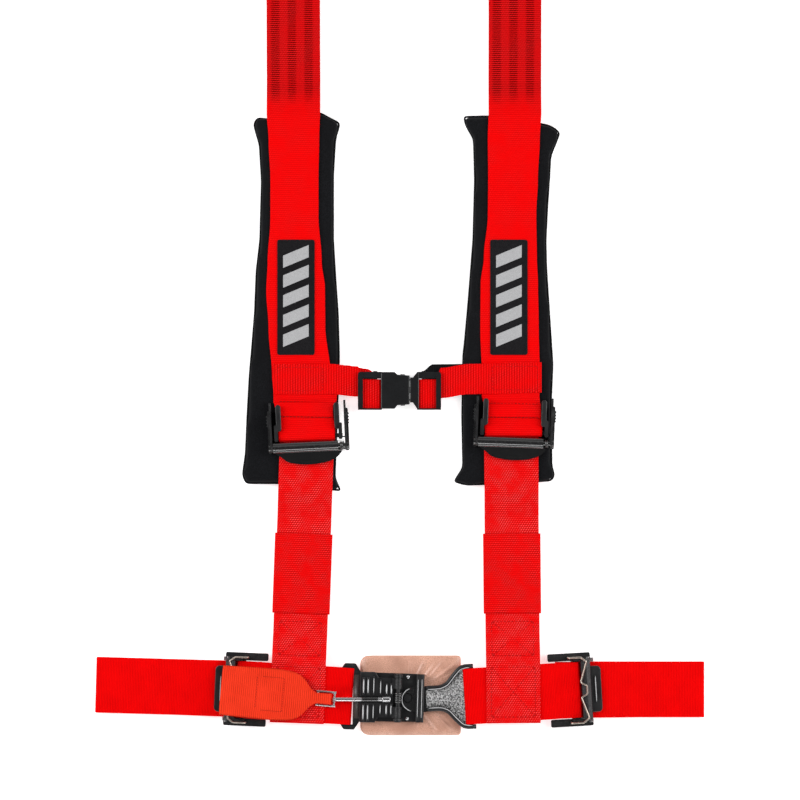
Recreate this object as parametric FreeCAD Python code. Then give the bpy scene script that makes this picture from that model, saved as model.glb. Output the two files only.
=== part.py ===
import FreeCAD, Part
import math
import os

# Racing harness laid flat: shoulder straps run along +Y, the lap belt along X, +Z is up.
# Design coordinates have Y = 0 on the lap belt line; export moves the origin to the middle
# of the underside. All sizes are in millimetres.

# ---- webbing ----
WEB_WIDTH = 50.8
WEB_THICK = 1.4
CHEST_WIDTH = 28.5
CHEST_THICK = 1.1
GAP = 0.2

# ---- layout in plan ----
SHOULDER_X = (-81.0, 103.8)
SHOULDER_TURN = (1.63, -0.34)
LOWER_X = (-95.8, 106.2)
LOWER_TURN = (-2.1, 0.5)
PAD_BOTTOM_Y = 196.0
PAD_TOP_Y = 539.0
PAD_THICK = 12.0
PAD_SKIN = 1.2
SHOULDER_ADJUSTER = ((-85.8, 245.1, -87.3), (106.9, 249.1, -92.0))
LAP_ADJUSTER = ((-147.1, 5.1, 177.5), (162.4, 4.6, 3.3))
LATCH_POINT = (-11.3, -2.4)
LATCH_TURN = -1.5
LINK_POINT = (65.5, -1.4)
LINK_TURN = 3.2
LAP_END_X = 285.8
LAP_BELT_TURN = (178.4, 0.0)
LABEL_POINT = ((-97.5, 372.6), (102.0, 372.6))
LABEL_SIZE = (35.0, 108.0)
SLEEVE_Y = (76.0, 151.0)
PAD_WAIST_Y = 450.0
PAD_LEFT = ((-146.5, -131.5, -136.0), (52.5, 67.0, 61.0))
PAD_RIGHT = ((-56.5, -61.5, -60.0), (145.5, 139.0, 147.0))
SLIDE_Y = 800.0
SHOULDER_ANCHOR_Y = 872.0

# ---- heights ----
ANCHOR_LOW = 1.65
ANCHOR_THICK = 3.0
LAP_FRAME_Z = 6.6
LOWER_Z = 5.0
SHOULDER_FRAME_Z = PAD_THICK + 0.3
LATCH_Z = 6.6
PLATE_THICK = 2.5

# ---- adjusters ----
BASE_THICK = 2.0
PIN_RADIUS = 2.5
PIN_CLEARANCE = 0.05
HUB_RADIUS = 4.0
HUB_X = 12.5
HUB_Z = 8.0
EAR_THICK = 2.0
FIXED_BAR_X = (1.0, 5.0)
FIXED_BAR_Z = (3.5, 5.9)
SPRING_WIRE = 0.8
SPRING_Z = HUB_Z + HUB_RADIUS + SPRING_WIRE + 0.3
LAP_INNER_HALF = 27.2
LAP_OUTER_HALF = 34.4
SHOULDER_INNER_HALF = 34.0
SHOULDER_OUTER_HALF = 37.9
RAIL_X = (-22.5, 17.5)
COIL_ROOM = 6.5

# ---- latch, local +x points towards the link ----
LATCH_PLATE_TOP = LATCH_Z + PLATE_THICK
LATCH_BAR_X = (-39.6, -36.9)
LATCH_HALF = 23.0
LATCH_EAR_HALF = 31.0
LATCH_PIN_X = 9.4
LATCH_PIN_Z = LATCH_Z + 9.0
LATCH_PIN_RADIUS = 2.2
LEVER_REAR_X = -26.5
LEVER_LOW = LATCH_Z + 6.0
LEVER_THICK = 2.6
LEVER_RIDGE = 1.5
ROD_RADIUS = 2.0
ROD_TURN = 1.5
ROD_Y = -1.4
EYE_RADIUS = 2.2
EYE_PIN_RADIUS = 1.1
HOOK_RADIUS = 3.6
RIVET_X = 18.5
RIVET_Y = 19.4
PIN_EAR_Y = (19.2, 21.4)
KNUCKLE_Y = (8.5, 18.6)
LATCH_SLOT_HALF = 26.4
LEVER_HALF = 23.6
LEVER_FRONT_HALF = 18.6
SKIRT_Y = (21.4, 23.2)
LINK_BAR_X = (-1.5, 2.0)
LINK_HALF = 30.5
LINK_END_X = 4.5
LINK_SLOT_HALF = 26.4
NECK_HALF = 12.0
NECK_LOW = LATCH_PLATE_TOP + GAP
NECK_THICK = 3.0
BRIDGE_X = (26.3, 33.8)
BRIDGE_LOW = NECK_LOW + NECK_THICK + 0.4
BRIDGE_TOP = BRIDGE_LOW + 2.8

# ---- pull tab, in the latch frame ----
TAB_PIVOT_X = -50.3
TAB_TURN = -3.5
ROD_Z = 17.2
TAB_REAR_X = -157.5
TAB_HALF = 23.0
TAB_THICK = 2.6
TAB_LOW = 22.2

# ---- chest buckle, local frame with +x towards the male half ----
BUCKLE_POINT = (-0.5, 285.8)
BUCKLE_Z = 5.0
PRONG_X = 14.0

# Chest webbing in plan: distance from the buckle's middle and rise above it; it steps under the end bar
CHEST_PLAN = ((66.0, 10.2), (39.2, 8.2), (34.0, -3.2), (17.0, -3.2))
SEWN_RISE = (10.2, 11.7)
LOOP_GATHER = 0.6

# ---- anchors ----
BOLT_HOLE_RADIUS = 5.75
ANCHOR_BAR_X = (14.0, 19.0)
ANCHOR_HOLE_X = 33.0


def vec(x, y, z=0.0):
    return FreeCAD.Vector(x, y, z)


def box(x0, x1, y0, y1, z0, z1):
    return Part.makeBox(x1 - x0, y1 - y0, z1 - z0, vec(x0, y0, z0))


def rod_x(x0, x1, y, z, radius):
    return Part.makeCylinder(radius, x1 - x0, vec(x0, y, z), vec(1, 0, 0))


def rod_y(x, y0, y1, z, radius):
    return Part.makeCylinder(radius, y1 - y0, vec(x, y0, z), vec(0, 1, 0))


def rod_z(x, y, z0, z1, radius):
    return Part.makeCylinder(radius, z1 - z0, vec(x, y, z0))


def rounded_box(x0, x1, y0, y1, z0, z1, radius):
    """Box whose four upright edges are rounded."""
    body = box(x0, x1, y0, y1, z0, z1)
    return body.makeFillet(radius, upright_edges(body))


def upright_edges(shape):
    return [e for e in shape.Edges if abs(e.tangentAt(e.FirstParameter).z) > 0.99]


def cross_edges(shape, above=-1e6):
    """Edges along Y that lie above a height."""
    return [e for e in shape.Edges
            if abs(e.tangentAt(e.FirstParameter).y) > 0.99 and e.CenterOfMass.z > above]


def place(shape, x, y, z=0.0, turn=0.0):
    """Copy of a shape turned about Z and moved from its local frame to the harness."""
    moved = shape.copy()
    moved.rotate(vec(0, 0, 0), vec(0, 0, 1), turn)
    moved.translate(vec(x, y, z))
    return moved


def plate(points, z0, z1):
    """Flat plate with a polygon outline."""
    corners = [vec(x, y, z0) for x, y in points]
    outline = Part.makePolygon(corners + corners[:1])
    return Part.Face(outline).extrude(vec(0, 0, z1 - z0))


def round_point(before, here, after, radius):
    """Tangent points and arc middle where a route turns at a point."""
    inward = (before - here).normalize()
    outward = (after - here).normalize()
    turn = math.pi - inward.getAngle(outward)
    reach = radius * math.tan(turn / 2)
    bisector = (inward + outward).normalize()
    middle = here + bisector * (radius / math.cos(turn / 2) - radius)
    return here + inward * reach, middle, here + outward * reach, bisector


def strip(route, width, thickness):
    """Webbing of constant thickness: its side route is (x, z, bend radius), its width is along Y."""
    points = [vec(x, 0, z) for x, z, _ in route]
    sides = []
    for side in (1, -1):
        edges = []
        start = None
        for i, here in enumerate(points):
            if i in (0, len(points) - 1):
                other = points[1] if i == 0 else points[-2]
                along = (other - here if i == 0 else here - other).normalize()
                normal = vec(-along.z, 0, along.x) * side
                end = here + normal * (thickness / 2)
                if start is not None:
                    edges.append(Part.makeLine(start, end))
                start = end
                continue
            first, middle, last, bisector = round_point(points[i - 1], here, points[i + 1], route[i][2])
            came = (here - points[i - 1]).normalize()
            goes = (points[i + 1] - here).normalize()
            normal_in = vec(-came.z, 0, came.x) * side * (thickness / 2)
            normal_out = vec(-goes.z, 0, goes.x) * side * (thickness / 2)
            inner = normal_in.dot(bisector) > 0
            arc_start = first + normal_in
            arc_end = last + normal_out
            arc_middle = middle + bisector * (thickness / 2 if inner else -thickness / 2)
            if (arc_start - start).Length > 1e-6:
                edges.append(Part.makeLine(start, arc_start))
            edges.append(Part.Arc(arc_start, arc_middle, arc_end).toShape())
            start = arc_end
        sides.append((edges, start))
    left, left_end = sides[0]
    right, right_end = sides[1]
    caps = [Part.makeLine(left_end, right_end)]
    closing = Part.makeLine(right[0].Vertexes[0].Point, left[0].Vertexes[0].Point)
    wire = Part.Wire(left + caps + right[::-1] + [closing])
    body = Part.Face(wire).extrude(vec(0, width, 0))
    body.translate(vec(0, -width / 2, 0))
    return body


def loop_round(bar_x, bar_z, direction, upper_z, lower_z):
    """Route points of webbing that comes in at upper_z, turns round a bar and leaves at lower_z."""
    radius = (upper_z - lower_z) / 2
    far = bar_x + direction * radius
    return [(far, upper_z, radius), (far, lower_z, radius)]


def bent_wire(points, bend_radius, wire_radius):
    """Round wire along straight runs joined by tangent arcs."""
    corners = [vec(*p) for p in points]
    edges = []
    start = corners[0]
    for before, here, after in zip(corners, corners[1:], corners[2:]):
        reach = min((here - before).Length, (after - here).Length) * 0.45
        turn = math.pi - (before - here).getAngle(after - here)
        radius = min(bend_radius, reach / math.tan(turn / 2))
        first, middle, last, _ = round_point(before, here, after, radius)
        edges.append(Part.makeLine(start, first))
        edges.append(Part.Arc(first, middle, last).toShape())
        start = last
    edges.append(Part.makeLine(start, corners[-1]))
    direction = corners[1] - corners[0]
    profile = Part.Wire(Part.makeCircle(wire_radius, corners[0], direction))
    return Part.Wire(edges).makePipeShell([profile], True, True)


# ---- adjusters: local +x points towards the free webbing, y runs across it ----


def adjuster_ear(inner, side, height, front_x, back_x):
    """Upright ear of the frame, rounded over the pin."""
    near = inner * side
    far = (inner + EAR_THICK) * side
    body = box(back_x, front_x, min(near, far), max(near, far), 0, HUB_Z)
    crown = rod_y(HUB_X, min(near, far), max(near, far), HUB_Z, height - HUB_Z)
    slope = plate([(back_x, 0), (front_x, 0), (HUB_X, height - 1), (back_x + 4, height - 2)], 0, EAR_THICK)
    slope.rotate(vec(0, 0, 0), vec(1, 0, 0), 90)
    slope.translate(vec(0, max(near, far), 0))
    return body.fuse([crown, slope])


def adjuster_frame(inner, outer, ear_back_x):
    rail_back, rail_front = RAIL_X
    frame = None
    for side in (1, -1):
        low, high = sorted((inner * side, outer * side))
        rail = rounded_box(rail_back, rail_front, low, high, 0, BASE_THICK, 1.5)
        ear = adjuster_ear(inner, side, HUB_Z + HUB_RADIUS + 0.2, rail_front - 0.5, ear_back_x)
        frame = rail.fuse(ear) if frame is None else frame.fuse([rail, ear])
    reaction_bar = box(HUB_X + 1.0, HUB_X + 4.0, -inner - 1, inner + 1, 0, BASE_THICK)
    fixed_bar = box(FIXED_BAR_X[0], FIXED_BAR_X[1], -inner - 1, inner + 1, *FIXED_BAR_Z)
    long_edges = cross_edges(fixed_bar)
    frame = frame.fuse([reaction_bar, fixed_bar.makeFillet(0.9, long_edges)])
    pin_hole = rod_y(HUB_X, -outer - 5, outer + 5, HUB_Z, PIN_RADIUS + PIN_CLEARANCE)
    return frame.cut(pin_hole).removeSplitter()


def adjuster_pin(inner):
    """Pivot pin with a low head outside each ear."""
    head_start = inner + EAR_THICK + 0.1
    shaft = rod_y(HUB_X, -head_start, head_start, HUB_Z, PIN_RADIUS)
    heads = [rod_y(HUB_X, head_start, head_start + 1.4, HUB_Z, PIN_RADIUS + 1.2),
             rod_y(HUB_X, -head_start - 1.4, -head_start, HUB_Z, PIN_RADIUS + 1.2)]
    return shaft.fuse(heads)


def cam_hub(inner):
    return rod_y(HUB_X, -inner + 0.4, inner - 0.4, HUB_Z, HUB_RADIUS)


def bore_hub(lever, inner):
    return lever.cut(rod_y(HUB_X, -inner - 1, inner + 1, HUB_Z, PIN_RADIUS + PIN_CLEARANCE)).removeSplitter()


def lap_lever():
    """Cam lever whose thumb tab is a rounded plate with a raised rib."""
    arm_low = HUB_Z - 3.5
    top = arm_low + PLATE_THICK
    tab_end = 26.6
    tab_half = 21.6
    face_half = LAP_INNER_HALF - 0.4
    arm = rounded_box(HUB_X, tab_end, -tab_half, tab_half, arm_low, top, 4.0)
    brow = [e for e in arm.Edges if e.CenterOfMass.z > top - 0.01 and e.CenterOfMass.x > HUB_X + 0.1]
    arm = arm.makeFillet(0.8, brow)
    rib = rounded_box(tab_end - 6.6, tab_end - 4.2, -13.0, 13.0, arm_low + 2, arm_low + 3.6, 1.1)
    face = box(HUB_X - 4.6, HUB_X + 4.6, -face_half, face_half, HUB_Z - 1.5, HUB_Z + 3.2)
    face = face.makeFillet(2.4, cross_edges(face, HUB_Z))
    return bore_hub(cam_hub(LAP_INNER_HALF).fuse([arm, rib, face]), LAP_INNER_HALF)


def curved_plate(curve, z0, z1):
    """Flat plate bounded by a smooth curve through the points and a straight line back."""
    points = [vec(x, y, z0) for x, y in curve]
    edge = Part.BSplineCurve()
    edge.interpolate(points)
    outline = Part.Wire([edge.toShape(), Part.makeLine(points[-1], points[0])])
    return Part.Face(outline).extrude(vec(0, 0, z1 - z0))


def shoulder_lever():
    """Cam lever with a wide tab that curves in to a shallow lip."""
    arm_low = HUB_Z - 3.5
    top = arm_low + PLATE_THICK
    half = SHOULDER_INNER_HALF - 0.6
    curve = [(HUB_X, -half), (HUB_X + 4.0, -32.5), (HUB_X + 9.0, -26.0), (HUB_X + 12.6, -21.7),
             (HUB_X + 15.0, -14.5), (HUB_X + 16.4, -4.0), (HUB_X + 16.2, 6.0), (HUB_X + 14.0, 19.0),
             (HUB_X + 10.5, 26.0), (HUB_X + 5.0, 31.0), (HUB_X, half)]
    tab = curved_plate(curve, arm_low, top)
    lip = rounded_box(HUB_X + 13.2, HUB_X + 15.2, -7.5, 8.5, top - 0.5, top + 1.2, 0.8)
    bar = box(HUB_X - 5, HUB_X + 5, -half, half, HUB_Z - 1, HUB_Z + 3.2)
    bar = bar.makeFillet(3.0, cross_edges(bar, HUB_Z))
    body = cam_hub(SHOULDER_INNER_HALF).fuse([bar, tab, lip]).cut(spring_pocket(1))
    return bore_hub(body, SHOULDER_INNER_HALF)


def lap_spring():
    """W-shaped wire that lies on the hub and hooks over both ears."""
    side_y = LAP_INNER_HALF + EAR_THICK + 1.3
    z = SPRING_Z
    half = [(-3.5, side_y, BASE_THICK + 1.0), (-3.5, side_y, z), (8.0, side_y, z), (13.5, side_y - 4, z),
            (7.0, 7.0, z), (12.8, 4.0, z)]
    mirrored = [(x, -y, z_here) for x, y, z_here in reversed(half)]
    return bent_wire(half + mirrored, 1.8, SPRING_WIRE)


def coil(x, z, y_start, turns, pitch, radius, wire):
    """Torsion spring coil whose axis runs along Y."""
    helix = Part.makeHelix(pitch, pitch * turns, radius)
    profile = Part.Wire(Part.makeCircle(wire, vec(radius, 0, 0), vec(0, 1, 0)))
    body = helix.makePipeShell([profile], True, True)
    body.rotate(vec(0, 0, 0), vec(1, 0, 0), -90)
    body.translate(vec(x, y_start, z))
    return body


def spring_pocket(side):
    low, high = sorted(((SHOULDER_INNER_HALF - 0.2) * side, (SHOULDER_INNER_HALF - COIL_ROOM) * side))
    return rod_y(HUB_X, low, high, HUB_Z, HUB_RADIUS + 0.9)


def shoulder_spring():
    """Torsion coil on the pin, in a pocket at one end of the hub."""
    return coil(HUB_X, HUB_Z, SHOULDER_INNER_HALF - COIL_ROOM + 1.2, 2.5, 1.5, 3.5, 0.6)


def ratchet_ear(side):
    """Flat ear with a toothed outer edge, on the rear of a shoulder frame's upright ear."""
    low, high = sorted((SHOULDER_INNER_HALF * side, (SHOULDER_INNER_HALF + 4.8) * side))
    ear = rounded_box(-18.5, -7.5, low, high, 8.2, 10.4, 1.5)
    notches = [rod_z(x, (SHOULDER_INNER_HALF + 5.2) * side, 8, 11, 1.2) for x in (-15.6, -12.7, -9.8)]
    return ear.cut(notches)


def strap_guide(side):
    """Upright wall beside the webbing, with a rounded finger over the webbing's edge."""
    low, high = sorted((28.4 * side, 31.8 * side))
    wall = rounded_box(-9.0, 6.5, low, high, 3.6, 10.2, 1.2)
    finger_low, finger_high = sorted((24.8 * side, 29.8 * side))
    finger = rounded_box(-28.0, -3.0, finger_low, finger_high, 7.9, 10.2, 2.4)
    brow = [e for e in finger.Edges if e.CenterOfMass.z > 10.19]
    return [wall, finger.makeFillet(0.9, brow)]


def shoulder_frame():
    frame = adjuster_frame(SHOULDER_INNER_HALF, SHOULDER_OUTER_HALF, RAIL_X[0] + 2)
    parts = []
    for side in (1, -1):
        low, high = sorted((SHOULDER_INNER_HALF * side, (SHOULDER_INNER_HALF + EAR_THICK) * side))
        parts.append(box(RAIL_X[0] - 7.5, RAIL_X[0] + 4, low, high, 2.5, 6.0))
        parts.append(ratchet_ear(side))
        parts.extend(strap_guide(side))
    window = box(-9, 4, SHOULDER_INNER_HALF - 2, SHOULDER_OUTER_HALF + 1, 3.2, 6.0)
    window = window.fuse(box(-9, 4, -SHOULDER_OUTER_HALF - 1, -SHOULDER_INNER_HALF + 2, 3.2, 6.0))
    return frame.cut(window).fuse(parts).removeSplitter()


# ---- latch ----


def round_bar(x0, x1, half, z0, z1, radius):
    """Cross bar along Y with rounded long edges."""
    bar = box(x0, x1, -half, half, z0, z1)
    return bar.makeFillet(radius, cross_edges(bar))


def latch_base():
    """Base plate with the webbing slot, the hook, the pin ears and the bridge over the link's neck."""
    bar_rear, bar_front = LATCH_BAR_X
    ear_rear = bar_rear - 4.5
    leg_half = LATCH_HALF - 0.6
    outline = [(ear_rear, -LATCH_SLOT_HALF), (ear_rear + 3, -LATCH_EAR_HALF), (-31.0, -LATCH_EAR_HALF),
               (-26.0, -LATCH_HALF), (BRIDGE_X[1], -leg_half)]
    outline += [(x, -y) for x, y in reversed(outline)]
    base = plate(outline, LATCH_Z, LATCH_PLATE_TOP)
    base = base.makeFillet(2.2, [e for e in upright_edges(base) if e.CenterOfMass.x < 0])
    base = base.cut(box(ear_rear - 1, bar_front + 4.2, -LATCH_SLOT_HALF, LATCH_SLOT_HALF,
                        LATCH_Z - 1, LATCH_PLATE_TOP + 1))
    parts = [round_bar(bar_rear, bar_front, LATCH_SLOT_HALF + 0.6, LATCH_Z, LATCH_PLATE_TOP, 0.9)]
    for side in (1, -1):
        low, high = sorted((PIN_EAR_Y[0] * side, PIN_EAR_Y[1] * side))
        parts.append(rod_y(LATCH_PIN_X, low, high, LATCH_PIN_Z, 4.2))
        parts.append(box(LATCH_PIN_X - 4.2, LATCH_PIN_X + 4.2, low, high, LATCH_Z + 1, LATCH_PIN_Z))
        leg_low, leg_high = sorted((17.5 * side, leg_half * side))
        parts.append(box(BRIDGE_X[0], BRIDGE_X[1], leg_low, leg_high, LATCH_Z + 1, BRIDGE_LOW + 1))
        flank_low, flank_high = sorted((28.0 * side, LATCH_EAR_HALF * side))
        parts.append(rounded_box(ear_rear + 3, -30.5, flank_low, flank_high,
                                 LATCH_Z + 1, LATCH_PLATE_TOP + 2.0, 1.2))
    parts.append(round_bar(*BRIDGE_X, leg_half, BRIDGE_LOW, BRIDGE_TOP, 1.35))
    parts.append(rod_z(RIVET_X, 0, LATCH_Z + 1, NECK_LOW + NECK_THICK - 0.4, HOOK_RADIUS))
    base = base.fuse(parts)
    holes = [rod_z(RIVET_X, RIVET_Y * side, LATCH_Z - 1, LATCH_PLATE_TOP + 1, 1.5) for side in (1, -1)]
    holes.append(rod_y(LATCH_PIN_X, -30, 30, LATCH_PIN_Z, LATCH_PIN_RADIUS + PIN_CLEARANCE))
    return base.cut(holes).removeSplitter()


def latch_rivets():
    """Two rivets of the base plate: round heads above and flat tails in the plate."""
    rivets = []
    for side in (1, -1):
        y = RIVET_Y * side
        shank = rod_z(RIVET_X, y, LATCH_Z, LATCH_PLATE_TOP, 1.48)
        ball = Part.makeSphere(2.2, vec(RIVET_X, y, LATCH_PLATE_TOP - 1.2))
        head = ball.common(box(RIVET_X - 3, RIVET_X + 3, y - 3, y + 3, LATCH_PLATE_TOP, LATCH_PLATE_TOP + 3))
        rivets.append(shank.fuse(head))
    return Part.makeCompound(rivets)


def ridge(x, width, y0, y1, base_z):
    """Rounded cross ridge pressed into the lever."""
    low, high = sorted((y0, y1))
    bar = box(x - width / 2, x + width / 2, low, high, base_z - 0.8, base_z + LEVER_RIDGE)
    return bar.makeFillet(width * 0.42, cross_edges(bar, base_z))


def lever_ridges():
    """Ridges on both sides of the rod's channel: (x, width, far end above it, far end below it)."""
    top = LEVER_LOW + LEVER_THICK
    rows = [(-22.9, 3.0, 18.4, -22.2), (-18.7, 3.0, 18.4, -22.2), (-13.4, 1.6, 19.6, -20.8),
            (-7.0, 1.8, 16.8, -16.0), (-1.3, 2.8, 13.6, -16.6), (3.2, 2.8, 13.6, -16.6)]
    ridges = [ridge(x, width, 2.6, upper, top) for x, width, upper, _ in rows]
    return ridges + [ridge(x, width, -6.0, lower, top) for x, width, _, lower in rows]


def latch_lever():
    """Lever: ribbed plate, channel for the rod, two knuckles on the pin."""
    top = LEVER_LOW + LEVER_THICK
    outline = [(LEVER_REAR_X, -LEVER_HALF), (-12.0, -LEVER_HALF), (-9.0, -LEVER_FRONT_HALF),
               (5.0, -LEVER_FRONT_HALF)]
    outline += [(x, -y) for x, y in reversed(outline)]
    body = plate(outline, LEVER_LOW, top)
    corners = [e for e in upright_edges(body) if e.CenterOfMass.x < -10]
    body = body.makeFillet(1.4, corners)
    rims = [e for e in body.Edges if e.CenterOfMass.z > top - 0.01 and e.CenterOfMass.x < -5]
    body = body.makeFillet(0.7, rims)
    channel = along_rod(box(LEVER_REAR_X - 3, 3.4, -2.9, 2.9, top - 1.4, top + 3))
    knuckles = []
    for side in (1, -1):
        low, high = sorted((KNUCKLE_Y[0] * side, KNUCKLE_Y[1] * side))
        knuckles.append(rod_y(LATCH_PIN_X, low, high, LATCH_PIN_Z, 3.6))
        knuckles.append(box(3.5, LATCH_PIN_X, low, high, LEVER_LOW, LATCH_PIN_Z + 1.6))
    body = body.fuse(knuckles + lever_ridges()).cut(channel)
    skirt = [box(LEVER_REAR_X + 1, -12.5, low, high, LATCH_PLATE_TOP + 0.4, LEVER_LOW + 0.5)
             for low, high in (SKIRT_Y, (-SKIRT_Y[1], -SKIRT_Y[0]))]
    rod_seat = along_rod(rod_x(LEVER_REAR_X - 3, -4.0, 0, ROD_Z, ROD_RADIUS + 0.01))
    bore = rod_y(LATCH_PIN_X, -30, 30, LATCH_PIN_Z, LATCH_PIN_RADIUS + PIN_CLEARANCE)
    return body.fuse(skirt).cut([bore, rod_seat]).removeSplitter()


def latch_pin():
    inner, outer = PIN_EAR_Y[1] + 0.2, PIN_EAR_Y[1] + 1.2
    shaft = rod_y(LATCH_PIN_X, -outer, outer, LATCH_PIN_Z, LATCH_PIN_RADIUS)
    heads = [rod_y(LATCH_PIN_X, low, high, LATCH_PIN_Z, 3.2)
             for low, high in ((inner, outer), (-outer, -inner))]
    return shaft.fuse(heads)


def latch_spring():
    """Torsion coil between the two knuckles."""
    return coil(LATCH_PIN_X, LATCH_PIN_Z, -5.0, 6.0, 1.6, 3.1, 0.65)


def along_rod(shape):
    """Move a shape from the rod's own line to the latch frame."""
    return place(shape, 0, ROD_Y, 0, ROD_TURN)


def pull_rod():
    """Rod in the lever's channel, with a knob at its front and an eye for the tab's ring behind."""
    z = ROD_Z
    shaft = rod_x(TAB_PIVOT_X + EYE_RADIUS - 0.4, 0.0, 0, z, ROD_RADIUS)
    knob = rod_x(-5.5, 2.6, 0, z, 2.7)
    knob = knob.makeFillet(0.9, [e for e in knob.Edges if e.Curve.TypeId == "Part::GeomCircle"])
    eye = rod_y(TAB_PIVOT_X, -1.6, 1.6, z, EYE_RADIUS)
    hole = rod_y(TAB_PIVOT_X, -3, 3, z, EYE_PIN_RADIUS + 0.3)
    return along_rod(shaft.fuse([knob, eye]).cut(hole).removeSplitter())


def hook_hole():
    """Hole in the link's nose, around the hook of the latch, in the link's own frame."""
    hook = vec(RIVET_X, 0)
    centre = place(Part.Vertex(hook), *LATCH_POINT, 0, LATCH_TURN).Point
    back = place(Part.Vertex(centre), -LINK_POINT[0], -LINK_POINT[1])
    back.rotate(vec(0, 0, 0), vec(0, 0, 1), -LINK_TURN)
    return rod_z(back.Point.x, back.Point.y, NECK_LOW - 1, NECK_LOW + NECK_THICK + 1, HOOK_RADIUS + 0.8)


# ---- link, local frame: x = 0 at the webbing slot, the nose points to -x ----


def link():
    """Hooked tongue: nose with an eye, narrow neck, flared frame with a webbing slot."""
    outline = [(-60, -8), (-56, -NECK_HALF + 0.6), (-52, -NECK_HALF), (-27, -NECK_HALF), (-21, -14.0),
               (-14.5, -22.5), (-7.5, -LINK_HALF + 1), (-3, -LINK_HALF), (LINK_END_X, -LINK_HALF)]
    outline += [(x, -y) for x, y in reversed(outline)]
    body = plate(outline, NECK_LOW, NECK_LOW + NECK_THICK)
    nose = rod_z(-53, 0, NECK_LOW, NECK_LOW + NECK_THICK, NECK_HALF - 0.6)
    opening = box(LINK_BAR_X[0] - 3.0, LINK_END_X + 1, -LINK_SLOT_HALF, LINK_SLOT_HALF,
                  NECK_LOW - 1, NECK_LOW + NECK_THICK + 1)
    bar = round_bar(*LINK_BAR_X, LINK_SLOT_HALF + 0.6, NECK_LOW, NECK_LOW + NECK_THICK, 1.1)
    return body.fuse(nose).cut([opening, hook_hole()]).fuse(bar).removeSplitter()


# ---- pull tab, in the latch frame; it slopes up from the pivot over the lap adjuster ----


def tab_slope():
    return math.degrees(math.atan2(TAB_LOW - ROD_Z - 0.6, abs(TAB_REAR_X - TAB_PIVOT_X)))


def tab_pivot():
    """Where the tab's hinge lies in plan, in the latch frame."""
    point = along_rod(Part.Vertex(vec(TAB_PIVOT_X, 0))).Point
    return point.x, point.y


def tilt_tab(shape):
    """Turn a flat tab piece up about the pivot, then swing it to the rod's end."""
    moved = shape.copy()
    moved.rotate(vec(TAB_PIVOT_X, 0, ROD_Z), vec(0, 1, 0), tab_slope())
    moved.rotate(vec(TAB_PIVOT_X, 0, 0), vec(0, 0, 1), TAB_TURN)
    pivot_x, pivot_y = tab_pivot()
    moved.translate(vec(pivot_x - TAB_PIVOT_X, pivot_y, 0))
    return moved


# Half width of the tab at a distance behind the pivot: narrow neck, round shoulders, straight body
TAB_SHAPE = ((2.6, 4.9), (17.0, 5.0), (20.0, 6.6), (23.0, 9.0), (26.0, 13.0), (29.0, 16.6), (33.0, 20.0),
             (38.0, 22.3), (45.0, 23.4), (58.0, 24.2), (80.0, 23.8))


def pull_tab():
    z = ROD_Z + 0.6
    rear = [(TAB_REAR_X + 2, TAB_HALF), (TAB_REAR_X, TAB_HALF - 3)]
    upper = [(TAB_PIVOT_X - back, half) for back, half in TAB_SHAPE] + rear
    lower = [(x, -y) for x, y in reversed(upper)]
    return tilt_tab(plate(upper + lower, z, z + TAB_THICK))


def tab_clasp():
    """Ring through the rod's eye: a pin, two side bars beside the tab's neck and a bar under it."""
    low_z = ROD_Z - 0.55
    rear = TAB_PIVOT_X - 17.0
    ring = rod_y(TAB_PIVOT_X, -6.5, 6.5, ROD_Z, EYE_PIN_RADIUS)
    parts = [rod_y(rear + 1.5, -6.5, 6.5, low_z, 0.9)]
    parts += [rod_x(rear, TAB_PIVOT_X + 1.6, 6.4 * side, low_z, 1.05) for side in (1, -1)]
    return tilt_tab(ring.fuse(parts).removeSplitter())


# ---- webbing ----


def shoulder_strap(side):
    """Sewn loop on the adjuster's bar, over the pad, through the slide and round the anchor's bar."""
    radius = 2.15
    loop_y = SHOULDER_ADJUSTER[side][1] - FIXED_BAR_X[1] + 1.2 - radius - 0.6
    low = SHOULDER_FRAME_Z + 2.5
    high = low + 2 * radius
    over_pad = PAD_THICK + 0.9
    anchor_turn = SHOULDER_ANCHOR_Y + 5.0 - 1.3 + 2.25
    main = 2.8
    tail = 0.9
    hump = 6.1
    route = [(loop_y + 24, low, 0), (loop_y, low, radius), (loop_y, high, radius),
             (loop_y + 6, high, 8), (loop_y + 17, high - 2.4, 8), (loop_y + 25, high - 2.4, 8),
             (loop_y + 37, over_pad, 6),
             (PAD_TOP_Y + 4, over_pad, 14), (PAD_TOP_Y + 36, main, 14)]
    route += [(SLIDE_Y - 13.4, main, 3), (SLIDE_Y - 4.0, main + hump, 3), (SLIDE_Y + 4.0, main + hump, 3),
              (SLIDE_Y + 13.4, main, 3), (SHOULDER_ANCHOR_Y - 30, main, 8), (SHOULDER_ANCHOR_Y - 8, 5.4, 8)]
    route += [(anchor_turn, 5.4, 2.25), (anchor_turn, tail, 2.25)]
    route += [(SLIDE_Y + 12.2, tail, 3), (SLIDE_Y + 2.8, tail + hump, 3), (SLIDE_Y - 2.8, tail + hump, 3),
              (SLIDE_Y - 12.2, tail, 3), (SLIDE_Y - 45, tail, 0)]
    return strip(route, WEB_WIDTH, WEB_THICK)


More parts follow.
